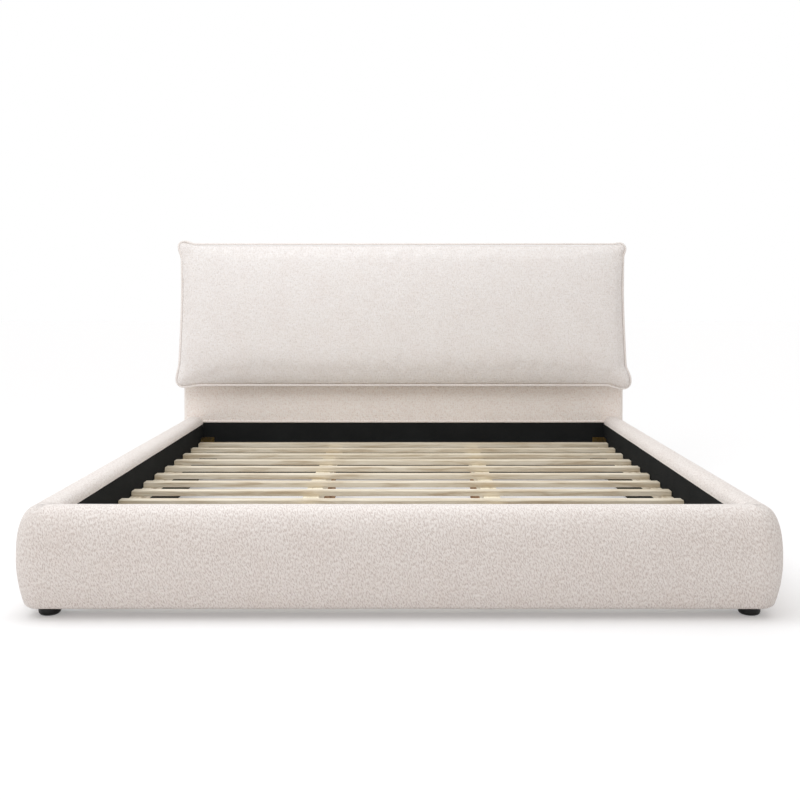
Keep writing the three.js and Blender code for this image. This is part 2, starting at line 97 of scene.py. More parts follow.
def add_node(tree, kind, inputs=(), **settings):
    """A shader node with its settings and its inputs."""
    node = tree.nodes.new(f"ShaderNode{kind}")
    for key, value in settings.items():
        setattr(node, key, value)
    give(tree, node, inputs)
    return node


def math_node(tree, operation, *values, **settings):
    """One sum of numbers or of other nodes' values."""
    node = add_node(tree, "Math", enumerate(values), operation=operation, **settings)
    return node.outputs[0]


# %% [markdown]
# To the camera and to mirrors the sky is white, while the light that it gives to the bed
# is greyer. Light Path tells the two apart. The floor will need the same choice, so that is
# a helper too.
# %% Make the white sky
SKY_LIGHT = 0.65
SKY_COLOUR = (1.025, 1.0, 0.97, 1.0)


def either(tree, lights, seen):
    """One shader for the light on things, another for what camera, mirror or glass sees."""
    path = add_node(tree, "LightPath").outputs
    mirrored = math_node(tree, "MAXIMUM", path["Is Camera Ray"], path["Is Glossy Ray"])
    direct = math_node(tree, "MAXIMUM", mirrored, path["Is Transmission Ray"])
    return add_node(tree, "MixShader", {0: direct, 1: lights, 2: seen}).outputs[0]


bpy.context.scene.view_settings.view_transform = "Standard"
world = bpy.data.worlds.new("white_studio")
bpy.context.scene.world = world
world.use_nodes = True
sky = world.node_tree
sky.nodes.clear()
lighting = add_node(sky, "Background", {"Color": SKY_COLOUR, "Strength": SKY_LIGHT})
white = add_node(sky, "Background", {"Color": (1, 1, 1, 1), "Strength": 1})
both = either(sky, lighting.outputs[0], white.outputs[0])
add_node(sky, "OutputWorld", {"Surface": both})
print("sky with", len(sky.nodes), "nodes")

# %% [markdown]
# The lamps are big and soft: one high on the left and one behind, a soft box over the foot
# of the bed that faces the cushion, and a weak warm fill low on the left.
# %% Hang the lamps
def hang_lamp(name, kind, place, looks_at, **settings):
    """A lamp at a place, turned towards another, with its strength, colour and size."""
    data = bpy.data.lights.new(name, kind)
    for key, value in settings.items():
        setattr(data, key, value)
    lamp = bpy.data.objects.new(name, data)
    lamp.location = place
    beam = Vector(place) - Vector(looks_at)
    lamp.rotation_euler = beam.to_track_quat("Z", "Y").to_euler()
    bpy.context.scene.collection.objects.link(lamp)
    print(name, round(math.degrees(math.asin(beam.normalized().z))), "degrees high")


high = {"energy": 0.64, "color": (0.94, 1.0, 1.03), "angle": math.radians(50)}
back = {"energy": 0.735, "color": (0.94, 1.0, 1.07), "angle": math.radians(85)}
soft = {"energy": 16, "color": (0.94, 1.0, 1.08), "size": 1.2}
warm = {"energy": 19.5, "color": (1.06, 0.98, 0.96), "size": 1.5}
hang_lamp("high_lamp", "SUN", (-3, -0.6, 5), (0, 0, 0), **high)
hang_lamp("back_lamp", "SUN", (-0.5, 2.5, 5), (0, 0, 0), **back)
hang_lamp("soft_box", "AREA", (-0.6, -0.9, 2.2), (0, 1, 0.5), **soft)
hang_lamp("side_fill", "AREA", (-2.6, -5.2, 0.9), (0, -1, 0.2), **warm)

# %% [markdown]
# ## Tools for working by hand
# Operators act on everything that is selected, and the loaded pieces are all selected.
# So each new piece starts from an empty selection, and faces or edges are picked by where
# they lie, as one would by hand.
# %% Select, name and pick
def start_fresh(piece=None):
    """Leaves edit mode and selects nothing, or only the one piece."""
    if bpy.context.object and bpy.context.object.mode != "OBJECT":
        bpy.ops.object.mode_set(mode="OBJECT")
    bpy.ops.object.select_all(action="DESELECT")
    if piece:
        bpy.context.view_layer.objects.active = piece
        piece.select_set(True)


def named(name):
    """Names the new primitive and puts its place into its mesh."""
    piece = bpy.context.object
    piece.name = name
    piece.data.name = name
    bpy.ops.object.transform_apply(location=True, rotation=True, scale=True)
    return piece


def pick(piece, kind, wanted):
    """Goes to edit mode with only the wanted faces or edges selected."""
    bpy.ops.object.mode_set(mode="EDIT")
    bpy.ops.mesh.select_mode(type=kind)
    bpy.ops.mesh.select_all(action="DESELECT")
    bpy.ops.object.mode_set(mode="OBJECT")
    mesh = piece.data
    if kind == "FACE":
        for face in mesh.polygons:
            face.select = bool(wanted(face.center, face.normal))
    else:
        for edge in mesh.edges:
            a, b = (mesh.vertices[v].co for v in edge.vertices)
            edge.select = bool(wanted((a + b) / 2, (b - a).normalized()))
    bpy.ops.object.mode_set(mode="EDIT")


def extrude(x, y, z):
    """Draws the selected faces out by that much and leaves them selected."""
    bpy.ops.mesh.extrude_region_move(TRANSFORM_OT_translate={"value": (x, y, z)})


def bevel(piece, wanted, width, segments, profile=0.5):
    """Rounds the wanted edges."""
    pick(piece, "EDGE", wanted)
    bpy.ops.mesh.bevel(offset=width, segments=segments, profile=profile, affect="EDGES")
    bpy.ops.object.mode_set(mode="OBJECT")


# %% [markdown]
# A finished mesh is closed, its faces point outwards, and it is shaded smooth.
# %% Close, modify and smooth
def face_outwards():
    """In edit mode, turns every face outwards."""
    bpy.ops.mesh.select_all(action="SELECT")
    bpy.ops.mesh.normals_make_consistent(inside=False)


def close_up(gap=0.01 * MM):
    """Merges doubled points, fills what is still open and turns all faces outwards."""
    bpy.ops.object.mode_set(mode="EDIT")
    bpy.ops.mesh.select_mode(type="VERT")
    bpy.ops.mesh.select_all(action="SELECT")
    bpy.ops.mesh.remove_doubles(threshold=gap)
    bpy.ops.mesh.dissolve_degenerate(threshold=gap)
    bpy.ops.mesh.select_all(action="SELECT")
    bpy.ops.mesh.fill_holes(sides=0)
    face_outwards()
    bpy.ops.object.mode_set(mode="OBJECT")


def add_modifier(piece, kind, **settings):
    """Adds one modifier and applies it."""
    start_fresh(piece)
    modifier = piece.modifiers.new(kind.title(), kind)
    for key, value in settings.items():
        setattr(modifier, key, value)
    bpy.ops.object.modifier_apply(modifier=modifier.name)


def smooth(piece, degrees=None):
    """Smooth shading, all over or up to an angle, and the number of triangles."""
    start_fresh(piece)
    if degrees is None:
        bpy.ops.object.shade_smooth()
    else:
        bpy.ops.object.shade_smooth_by_angle(angle=math.radians(degrees))
    triangles = sum(len(face.vertices) - 2 for face in piece.data.polygons)
    print(piece.name, "has", triangles, "triangles")


# %% [markdown]
# Shapes that no operator gives, such as a bulge, are made by moving a mesh's points all at
# once, as rows of x, y and z.
# %% Read and move points
def points_of(mesh):
    """The places of all points, one row each."""
    spots = np.empty(len(mesh.vertices) * 3)
    mesh.vertices.foreach_get("co", spots)
    return spots.reshape(-1, 3)


def normals_of(mesh):
    """The directions that the surface faces at all points."""
    found = np.empty(len(mesh.vertices) * 3)
    mesh.vertex_normals.foreach_get("vector", found)
    return found.reshape(-1, 3)


def move_points(mesh, spots):
    """Puts all points at new places."""
    mesh.vertices.foreach_set("co", np.ascontiguousarray(spots, dtype=float).ravel())
    mesh.update()


def rumple(spots, size, seed):
    """Soft random numbers from -1 to 1 that change over the given size."""
    away = Vector((seed * 17.3, seed * 5.1, seed * 9.7))
    return np.array([noise.noise(Vector(spot) / size + away) for spot in spots])


# %% [markdown]
# Cloth is laid as a grid: its columns follow the roll of cloth and its rows go across it.
# The same numbers give the cloth its own coordinates in metres, kept as a UV map, so that
# the weave keeps its size and follows every bend. Where a face turns away from the roll,
# it gets new coordinates afterwards.
# %% Lay cloth
def lay_cloth(name, columns, rows, place):
    """A grid whose points go where place says; it also gives the cloth coordinates."""
    start_fresh()
    bpy.ops.mesh.primitive_grid_add(x_subdivisions=columns, y_subdivisions=rows, size=2)
    cloth = named(name)
    spots = points_of(cloth.data)
    column = np.rint((spots[:, 0] + 1) / 2 * columns).astype(int)
    row = np.rint((spots[:, 1] + 1) / 2 * rows).astype(int)
    places, flat = place(column, row)
    move_points(cloth.data, places)
    corners = np.empty(len(cloth.data.loops), int)
    cloth.data.loops.foreach_get("vertex_index", corners)
    weave = cloth.data.uv_layers.active
    weave.name = "cloth"
    weave.data.foreach_set("uv", flat[corners].ravel())
    return cloth


def recut_cloth(piece, flat_place):
    """Gives faces new cloth coordinates; flat_place says them for a face's corners."""
    weave = piece.data.uv_layers["cloth"]
    for face in piece.data.polygons:
        for corner in face.loop_indices:
            at = piece.data.vertices[piece.data.loops[corner].vertex_index].co
            flat = flat_place(at, face.normal)
            if flat is not None:
                weave.uv[corner].vector = flat


# %% [markdown]
# ## Finishes
# A pattern is built from noise: coordinates are turned and stretched, noise is read there,
# and a range of it is spread from hollow to full.
# %% Helpers for patterns
def turned(tree, vector, degrees=(0, 0, 0), stretch=(1, 1, 1)):
    """The coordinates turned, and then multiplied along each axis."""
    angles = [math.radians(part) for part in degrees]
    turn = add_node(tree, "Mapping", {"Vector": vector, "Rotation": angles})
    spread = add_node(tree, "Mapping", {"Vector": turn.outputs[0], "Scale": stretch})
    return spread.outputs[0]


def fuzz(tree, vector, scale, detail=2.0, roughness=0.5, distortion=0.0):
    """Noise from 0 to 1."""
    inputs = {"Vector": vector, "Scale": scale, "Detail": detail}
    inputs |= {"Roughness": roughness, "Distortion": distortion}
    return add_node(tree, "TexNoise", inputs).outputs["Fac"]


def dots(tree, vector, scale, unevenness):
    """The distance from the middle of the nearest of many small dots."""
    inputs = {"Vector": vector, "Scale": scale, "Randomness": unevenness}
    return add_node(tree, "TexVoronoi", inputs).outputs["Distance"]


def range_of(tree, value, low, high, to_low=0.0, to_high=1.0):
    """The part of a value between low and high, spread out with soft ends."""
    inputs = enumerate((value, low, high, to_low, to_high))
    return add_node(tree, "MapRange", inputs, interpolation_type="SMOOTHSTEP").outputs[0]


def mixed(tree, first, much, second, rest):
    """So much of one value and so much of another."""
    return math_node(tree, "MULTIPLY_ADD", first, much, math_node(tree, "MULTIPLY", second, rest))


def share_of(tree, value, amount):
    """How far the value is from a half, times the amount."""
    return math_node(tree, "MULTIPLY", math_node(tree, "SUBTRACT", value, 0.5), amount)


# %% [markdown]
# A pattern that more than one material uses becomes a node group. It takes coordinates and
# a few numbers, and gives a tone, which the material turns to colours, and a height for
# the bump.
# %% A helper that starts a node group
def new_group(name, numbers, results):
    """A node group, what it is given and what it gives."""
    tree = bpy.data.node_groups.new(name, "ShaderNodeTree")
    tree.interface.new_socket(name="Vector", in_out="INPUT", socket_type="NodeSocketVector")
    for key, value in numbers.items():
        made = tree.interface.new_socket(name=key, in_out="INPUT", socket_type="NodeSocketFloat")
        made.default_value = value
    for key in results:
        tree.interface.new_socket(name=key, in_out="OUTPUT", socket_type="NodeSocketFloat")
    given = tree.nodes.new("NodeGroupInput").outputs
    gives = tree.nodes.new("NodeGroupOutput").inputs
    return tree, given, gives


# %% [markdown]
# The bouclé is short slanted worms of yarn, a crossed slub that shows from far away, fine
# fluff, and slow patches where the cloth took the dye a little differently. The rails, the
# headboard and the cushion share it.
# %% Build the bouclé
boucle, given, gives = new_group(
    "boucle", {"Yarn": 1.0, "Weave": 0.3}, ("Tone", "Mottle", "Height")
)


def strands(turn, stretch, low, high, detail, distortion=0.0):
    """Noise drawn out into short strands, from hollow to loop."""
    place = turned(boucle, given["Vector"], (0, 0, turn), (*stretch, 1))
    return range_of(boucle, fuzz(boucle, place, 1.0, detail, 0.5, distortion), low, high)


worms = strands(-74, (118, 300), 0.36, 0.6, 1.2, 0.2)
crossing = strands(-102, (130, 330), 0.34, 0.62, 1.2, 0.3)
yarn = mixed(boucle, crossing, 0.22, worms, 0.78)
upright = strands(0, (150, 52), 0.3, 0.7, 1.5)
level = strands(0, (48, 150), 0.3, 0.7, 1.5)
slub = mixed(boucle, level, 0.45, upright, 0.55)
fluff = fuzz(boucle, turned(boucle, given["Vector"], stretch=(800, 800, 1)), 1.0)
mottle = fuzz(boucle, turned(boucle, given["Vector"], stretch=(11, 9, 1)), 1.0, 2.5)
yarn_part = share_of(boucle, yarn, given["Yarn"])
weave_part = share_of(boucle, slub, given["Weave"])
both_parts = math_node(boucle, "ADD", yarn_part, weave_part)
fluff_part = share_of(boucle, fluff, 0.3)
tone = math_node(boucle, "ADD", both_parts, fluff_part)
boucle.links.new(math_node(boucle, "ADD", tone, 0.5, use_clamp=True), gives["Tone"])
boucle.links.new(mottle, gives["Mottle"])
height = math_node(boucle, "MULTIPLY_ADD", fluff_part, 0.6, both_parts)
boucle.links.new(height, gives["Height"])
print("bouclé group", len(boucle.nodes), "nodes")

# %% [markdown]
# Wood needs its own group: long dull streaks, fine fibres and now and then a darker
# band, all stretched along the piece. The grain runs along X in the group, and each
# material turns its coordinates so that it runs along the piece.
# %% Build the wood grain
grain, given, gives = new_group("wood_grain", {"Streaks": 1.0}, ("Tone", "Height"))
bands = fuzz(grain, turned(grain, given["Vector"], stretch=(4.5, 60, 60)), 1.0, 3.0, 0.6, 0.6)
bands = math_node(grain, "MULTIPLY", range_of(grain, bands, 0.3, 0.75), given["Streaks"])
fibres = fuzz(grain, turned(grain, given["Vector"], stretch=(9, 520, 520)), 1.0)
patches = fuzz(grain, turned(grain, given["Vector"], stretch=(3, 9, 9)), 1.0)
streaks = mixed(grain, bands, 0.6, fibres, 0.22)
tone = math_node(grain, "MULTIPLY_ADD", patches, 0.3, streaks, use_clamp=True)
grain.links.new(tone, gives["Tone"])
grain.links.new(mixed(grain, fibres, 0.7, bands, 0.3), gives["Height"])
print("grain group", len(grain.nodes), "nodes")

# %% [markdown]
# Each finish is a material of its own around a Principled shader. Colours are written as
# in a paint program, from 0 to 255, and a ramp turns a tone into them.
# %% Helpers for finishes
def linear(red, green, blue):
    """A colour as written in a paint program, for a node."""
    parts = [part / 255 for part in (red, green, blue)]
    bent = [p / 12.92 if p <= 0.04045 else ((p + 0.055) / 1.055) ** 2.4 for p in parts]
    return (*bent, 1.0)


def new_finish(name, roughness, **settings):
    """A material, its node tree and its shader with those settings."""
    finish = bpy.data.materials.new(name)
    finish.use_nodes = True
    tree = finish.node_tree
    shader = tree.nodes["Principled BSDF"]
    inputs = {key.replace("_", " "): value for key, value in settings.items()}
    give(tree, shader, {"Roughness": roughness, **inputs})
    return finish, tree, shader


def coloured(tree, tone, stops):
    """A colour ramp over a tone; stops are (place, colour)."""
    ramp = add_node(tree, "ValToRGB", {"Fac": tone})
    first, last = ramp.color_ramp.elements
    first.position, last.position = stops[0][0], stops[-1][0]
    first.color, last.color = linear(*stops[0][1]), linear(*stops[-1][1])
    for place, colour in stops[1:-1]:
        ramp.color_ramp.elements.new(place).color = linear(*colour)
    return ramp.outputs["Color"]


def raised(tree, shader, height, distance, strength=1.0):
    """A bump on the shader's surface."""
    inputs = {"Height": height, "Distance": distance, "Strength": strength}
    give(tree, shader, {"Normal": add_node(tree, "Bump", inputs).outputs[0]})


def object_place(tree, degrees=(0, 0, 0)):
    """Coordinates in metres that stay with the object, turned."""
    return turned(tree, add_node(tree, "TexCoord").outputs["Object"], degrees)


def placed(tree, group, vector, **numbers):
    """What the group gives, as a node of a material, for its numbers."""
    return add_node(tree, "Group", {"Vector": vector, **numbers}, node_tree=group).outputs


# %% [markdown]
# The cream cloth's tone follows the pattern of its yarn, and its ramp paints light and shade into
# the colour: almost white on the loops, as painted light, and warm grey in the hollows between
# them, as painted shade. Sheen gives the pale rim that fluffy cloth has at a low angle. The rails
# have the coarsest cloth, and the cushion, the headboard and the cord finer ones. The rails'
# tones are darker, as painted shade, and the headboard's lighter, as painted light, though all
# are the same cloth.
# %% The cream bouclé
def tinted(tree, colour, amount, tint):
    """The colour multiplied by a tint, as far as the amount says."""
    inputs = {"Factor": amount, "A": colour, "B": linear(*tint)}
    mix = add_node(tree, "Mix", inputs, data_type="RGBA", blend_type="MULTIPLY")
    return mix.outputs["Result"]


def cream_cloth(name, yarn, weave, depth, tones):
    """Bouclé with that much loose yarn and weave, in tones from shaded hollow to lit loop,
    painted into its colour.
    """
    finish, tree, shader = new_finish(
        name, 0.95, Sheen_Weight=0.45, Sheen_Roughness=0.5, Specular_IOR_Level=0.15
    )
    uv = add_node(tree, "UVMap", uv_map="cloth").outputs["UV"]
    cloth = placed(tree, boucle, uv, Yarn=yarn, Weave=weave)
    # The ramp paints shade into the hollows and light onto the loops.
    ramp = coloured(tree, cloth["Tone"], list(zip((0.1, 0.5, 0.9), tones)))
    patches = range_of(tree, cloth["Mottle"], 0.35, 0.75, 0.0, 0.6)
    colour = tinted(tree, ramp, patches, (251, 249, 248))
    give(tree, shader, {"Base Color": colour, "Sheen Tint": linear(255, 252, 248)})
    raised(tree, shader, cloth["Height"], depth)
    return finish


# The rails' tones are darker than the cushion's, as painted shade on the same cloth.
RAIL_SHADED_TONES = [(203, 190, 184), (234, 225, 219), (246, 240, 236)]
PALE_TONES = [(219, 210, 203), (240, 234, 230), (247, 243, 242)]
# The headboard's tones are lighter than the cushion's, as painted light against the shade under
# the cushion.
PANEL_LIT_TONES = [(230, 215, 205), (250, 241, 234), (253, 248, 243)]
CORD_TONES = [(224, 215, 208), (240, 233, 228), (247, 243, 240)]
# The rails' cloth carries the darker tones of painted shade, the headboard's the lighter tones of
# painted light.
cream = cream_cloth("cream_boucle", 0.62, 0.1, 1.6 * MM, RAIL_SHADED_TONES)
pale_cream = cream_cloth("cream_boucle_fine", 0.35, 0.36, 1.7 * MM, PALE_TONES)
panel_lit_cream = cream_cloth("cream_boucle_panel_lit", 0.4, 0.45, 2.0 * MM, PANEL_LIT_TONES)
cord_cream = cream_cloth("cream_boucle_cord", 0.4, 0.0, 0.5 * MM, CORD_TONES)
print("made", cream.name, pale_cream.name, panel_lit_cream.name, cord_cream.name)

# %% [markdown]
# The lining is black non-woven cloth: pressed fibres with a fine grid of weld dots.
# %% The black lining cloth
def black_cloth():
    """Pressed fibres, slow clouds and weld dots."""
    finish, tree, shader = new_finish("black_lining", 0.9, Specular_IOR_Level=0.06)
    place = object_place(tree)
    fibres = fuzz(tree, place, 420, 3.0, 0.7, 1.5)
    clouds = fuzz(tree, place, 9, 3.0)
    tone = mixed(tree, clouds, 0.4, fibres, 0.6)
    colour = coloured(tree, tone, [(0.3, (26, 27, 27)), (0.7, (38, 39, 39))])
    give(tree, shader, {"Base Color": colour})
    height = math_node(tree, "MULTIPLY_ADD", dots(tree, place, 380, 0.25), 0.5, fibres)
    raised(tree, shader, height, 0.4 * MM)
    return finish


black = black_cloth()
print("made", black.name)

# %% [markdown]
# Four woods share the grain group: pale poplar slats and cleats, yellower pine rails, brown
# legs and plywood. Each has its own colours and the direction in which its grain runs.
# %% The woods
ALONG_X, ALONG_Y, ALONG_Z = (0, 0, 0), (0, 0, 90), (0, 90, 0)
SLAT_TONES = [(0.15, (233, 223, 205)), (0.5, (217, 205, 183)), (0.9, (186, 166, 137))]
PINE_TONES = [(0.2, (243, 234, 212)), (0.6, (232, 221, 198)), (0.95, (208, 192, 162))]
BROWN_TONES = [(0.2, (190, 152, 120)), (0.6, (160, 120, 88)), (0.95, (124, 86, 60))]
PLY_TONES = [(0.2, (216, 186, 142)), (0.6, (196, 160, 112)), (0.95, (160, 122, 80))]


def wood(name, stops, direction, roughness, streaks=1.0):
    """Grain in those tones, a little rougher where it is pale."""
    finish, tree, shader = new_finish(name, roughness, Specular_IOR_Level=0.4)
    fibres = placed(tree, grain, object_place(tree, direction), Streaks=streaks)
    colour = coloured(tree, fibres["Tone"], stops)
    rougher = range_of(tree, fibres["Tone"], 0.0, 1.0, roughness + 0.08, roughness - 0.08)
    give(tree, shader, {"Base Color": colour, "Roughness": rougher})
    raised(tree, shader, fibres["Height"], 0.25 * MM)
    print("made", name)
    return finish


poplar = wood("pale_slat_wood", SLAT_TONES, ALONG_X, 0.55)
poplar_along = wood("pale_cleat_wood", SLAT_TONES, ALONG_Y, 0.55)
pine_across = wood("pine_across", PINE_TONES, ALONG_X, 0.5)
pine_along = wood("pine_along", PINE_TONES, ALONG_Y, 0.5)
brown_legs = wood("brown_leg_wood", BROWN_TONES, ALONG_Z, 0.5)
plywood = wood("plywood", PLY_TONES, ALONG_X, 0.65, 1.2)

# %% [markdown]
# The hardware is yellow-passivated zinc, whose colour clouds from brass to violet grey. Its
# colours are darkened by painted shade from the corners of the well where the brackets sit.
# %% The zinc
def zinc_plate():
    """Cloudy yellow zinc with fine scratches, darkened by painted shade."""
    finish, tree, shader = new_finish("yellow_zinc", 0.36, Metallic=1.0)
    place = object_place(tree)
    clouds = fuzz(tree, place, 55, 3.0, 0.6, 0.6)
    # These brass tones are darker than bright zinc: painted shade of the bed's corners.
    stops = [(0.3, (96, 76, 38)), (0.5, (122, 102, 60)), (0.7, (92, 84, 68))]
    scratches = fuzz(tree, turned(tree, place, (20, 35, 15), (900, 40, 900)), 1.0)
    rougher = range_of(tree, scratches, 0.2, 0.8, 0.28, 0.5)
    give(tree, shader, {"Base Color": coloured(tree, clouds, stops), "Roughness": rougher})
    raised(tree, shader, scratches, 0.08 * MM)
    return finish


zinc = zinc_plate()
print("made", zinc.name)

# %% [markdown]
# The feet are black moulded plastic with a fine grain, and the hook tape is a field of
# small loops.
# %% The plastic and the tape
def moulded_plastic():
    """Black plastic with a little dust."""
    finish, tree, shader = new_finish("black_plastic", 0.5, Specular_IOR_Level=0.3)
    place = object_place(tree)
    dust = fuzz(tree, place, 60, 3.0)
    colour = coloured(tree, dust, [(0.4, (8, 8, 9)), (0.75, (15, 15, 14))])
    rougher = range_of(tree, dust, 0.3, 0.8, 0.4, 0.58)
    give(tree, shader, {"Base Color": colour, "Roughness": rougher})
    raised(tree, shader, fuzz(tree, place, 1400), 0.1 * MM)
    return finish


def fluffy_tape():
    """Pale tape covered in loops."""
    finish, tree, shader = new_finish("hook_tape", 0.9, Sheen_Weight=0.2)
    hooks = dots(tree, object_place(tree), 520, 0.4)
    colour = coloured(tree, hooks, [(0.0, (226, 220, 210)), (0.6, (176, 168, 156))])
    give(tree, shader, {"Base Color": colour})
    raised(tree, shader, hooks, 0.8 * MM, 0.8)
    return finish


plastic = moulded_plastic()
tape = fluffy_tape()
print("made", plastic.name, tape.name)

# %% [markdown]
# The floor is a plain sheet. To a grey that takes shadows, its material adds a glow that
# only the camera and mirrors see, so the floor looks white and still keeps the soft shadow
# of the bed.
# %% Lay the floor
FLOOR_GLOW = 0.245
FLOOR_COLOUR = (0.735, 0.725, 0.725, 1.0)
FLOOR_SIDE = 60
start_fresh()
bpy.ops.mesh.primitive_plane_add(size=FLOOR_SIDE, location=(0, 0, 0))
floor = named("floor")
floor_finish, floor_tree, floor_shader = new_finish("white_floor", 1.0, Specular_IOR_Level=0.0)
give(floor_tree, floor_shader, {"Base Color": FLOOR_COLOUR})
glow = add_node(floor_tree, "Emission", {"Strength": FLOOR_GLOW}).outputs[0]
dark = add_node(floor_tree, "Emission", {"Strength": 0}).outputs[0]
glow_seen = either(floor_tree, dark, glow)
both = add_node(floor_tree, "AddShader", {0: glow_seen, 1: floor_shader.outputs[0]}).outputs[0]
give(floor_tree, floor_tree.nodes["Material Output"], {"Surface": both})
floor.data.materials.append(floor_finish)
print("floor of", FLOOR_SIDE, "m")

# %% [markdown]
# ## Padded rails
# A rail is a board with foam over it, and the cloth is pulled around the foam: from the
# lining's top edge over a round inner edge and a soft shoulder, down the outside and under.
# The section is drawn once, as (out from the well, height). The shoulder is a quarter of a
# superellipse, which is fuller than a circle and softer than a box.
# %% Draw the upper half of the section
CROWN_ROUND = 28 * MM
CROWN_START = 38 * MM
CROWN_LIFT = 2.5 * MM
BULGE_IN = 2.5 * MM
BULGE_POWER = 2.8
SHOULDER_POWER = 2.4


def arc(centre, radius, start, end, parts):
    """Points round a centre, from one angle to another."""
    angles = np.linspace(start, end, parts + 1)
    return np.array(centre) + radius * np.column_stack([np.cos(angles), np.sin(angles)])


middle_up, half_up = (rail_low + rail_high) / 2, (rail_high - rail_low) / 2
widest, crown = rail_depth - BULGE_IN, rail_high + CROWN_LIFT
inner_edge = arc((CROWN_ROUND, crown - CROWN_ROUND), CROWN_ROUND, math.pi, math.pi / 2, 12)
turns = np.linspace(math.pi / 2, 0, 49)
shoulder_out = CROWN_START + (widest - CROWN_START) * np.cos(turns) ** (2 / BULGE_POWER)
shoulder_up = middle_up + (crown - middle_up) * np.sin(turns) ** (2 / SHOULDER_POWER)
upper_half = np.vstack([inner_edge, np.column_stack([shoulder_out, shoulder_up])])
print("upper half of the section", len(upper_half), "points")

# %% [markdown]
# Below its middle the outside leans in more and more, turns a tight corner and runs in
# under the rail. The corner starts at the slope that the side ends with, so the line has
# no kink.
# %% Draw the lower half of the section
LOW_LEAN = 28.5 * MM
LOW_CORNER = 16 * MM
LOW_RISE = 7 * MM
slope = math.atan(2 * LOW_LEAN / half_up * (1 - LOW_CORNER / half_up))
deepest = half_up - LOW_RISE - LOW_CORNER * (1 - math.sin(slope))
downs = np.linspace(0, deepest, 25)[1:]
low_side = np.column_stack([widest - LOW_LEAN * (downs / half_up) ** 2, middle_up - downs])
corner_out = low_side[-1, 0] - LOW_CORNER * math.cos(slope)
corner_up = rail_low + LOW_RISE + LOW_CORNER
low_corner = arc((corner_out, corner_up), LOW_CORNER, -slope, -math.pi / 2, 12)[1:]
lower_half = np.vstack([low_side, low_corner])
print("lower half of the section", len(lower_half), "points")

# %% [markdown]
# The cloth's rows are points at even distances along that line. From the underside the
# section goes back up on both sides of the board, so that the pad is a closed shell with
# room for the board.
# %% Close the section
CLOTH_STEP = 6 * MM
TUCK_STEP = 8 * MM
CLEAR = 0.5 * MM
UNDER_TUCK = 8 * MM
UNDER_RISE = 2.5 * MM
BOARD_OUTSIDE = 31 * MM
BOARD_INSIDE = 2.6 * MM


def evenly(line, step):
    """The line's points at even steps, with the distance of each along the line."""
    far = np.concatenate([[0], np.cumsum(np.linalg.norm(np.diff(line, axis=0), axis=1))])
    wanted = np.linspace(0, far[-1], max(int(round(far[-1] / step)), 1) + 1)
    return np.column_stack([np.interp(wanted, far, side) for side in line.T]), wanted


board_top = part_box("right_rail_board")[1].z + CLEAR
starts = [(0.0, lining_top + CLEAR)]
ends = [(CROWN_START, rail_low), (UNDER_TUCK, rail_low)]
cloth_line, cloth_run = evenly(np.vstack([starts, upper_half, lower_half, ends]), CLOTH_STEP)
tuck = [
    (UNDER_TUCK, rail_low + UNDER_RISE),
    (BOARD_OUTSIDE, rail_low + UNDER_RISE),
    (BOARD_OUTSIDE, board_top),
    (BOARD_INSIDE, board_top),
    (BOARD_INSIDE, lining_top + CLEAR),
]
section = np.vstack([cloth_line, tuck, cloth_line[:1]])
tuck_run = cloth_run[-1] + TUCK_STEP * np.arange(1, len(tuck) + 2)
section_run = np.concatenate([cloth_run, tuck_run])
print("rail section", len(section), "points,", round(cloth_run[-1], 3), "m of cloth")

# %% [markdown]
# Stuffed cloth is never a perfect surface: the foam gives it slow waves of about a millimetre,
# and where two covers meet, each dips towards the joint. One helper moves the points of a
# finished pad along their normals to get both. Another gives a finished piece its cloth and hides
# the measured parts that it takes the place of.
# %% Soften and dress a piece
JOINT_DIP = 0.4 * MM
JOINT_WIDTH = 4 * MM
JOINT_GAP = 0.3 * MM
WAVES = 0.5 * MM
WAVE_SIZE = 0.16
UNDERSIDE = rail_low + 3 * MM


def soften(pad, seed, joints):
    """Slow waves; joints are (distance of each point from the joint, depth of its dip)."""
    mesh = pad.data
    spots, normals = points_of(mesh), normals_of(mesh)
    fine = rumple(spots, WAVE_SIZE / 3, seed + 1)
    lift = WAVES * rumple(spots, WAVE_SIZE, seed) + 0.4 * WAVES * fine
    for distance, depth in joints:
        near = np.clip(1 - distance(spots) / JOINT_WIDTH, 0, 1)
        lift = lift * (1 - near) - depth * near**2
    lift[spots[:, 2] < UNDERSIDE] = 0
    move_points(mesh, spots + normals * lift[:, None])


def dress(piece, finish, body, slot, *nodes, crease=None):
    """Gives a piece its finish, hides the measured parts that it takes the place of, and hangs it
    on what carries it.
    """
    piece.data.materials.append(finish)
    smooth(piece, crease)
    if nodes:
        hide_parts(*nodes)
    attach(piece, body)


# %% [markdown]
# The two side rails are that section drawn out along the bed. They meet the foot rail with
# a small dip. At the head they reach out past the headboard's side, so that outer edge is
# rounded, and the end face gets cloth coordinates of its own.
# %% Upholster the side rails
HEAD_ROUND = 9 * MM
HEAD_PLAIN = 70 * MM
CREASE = 50


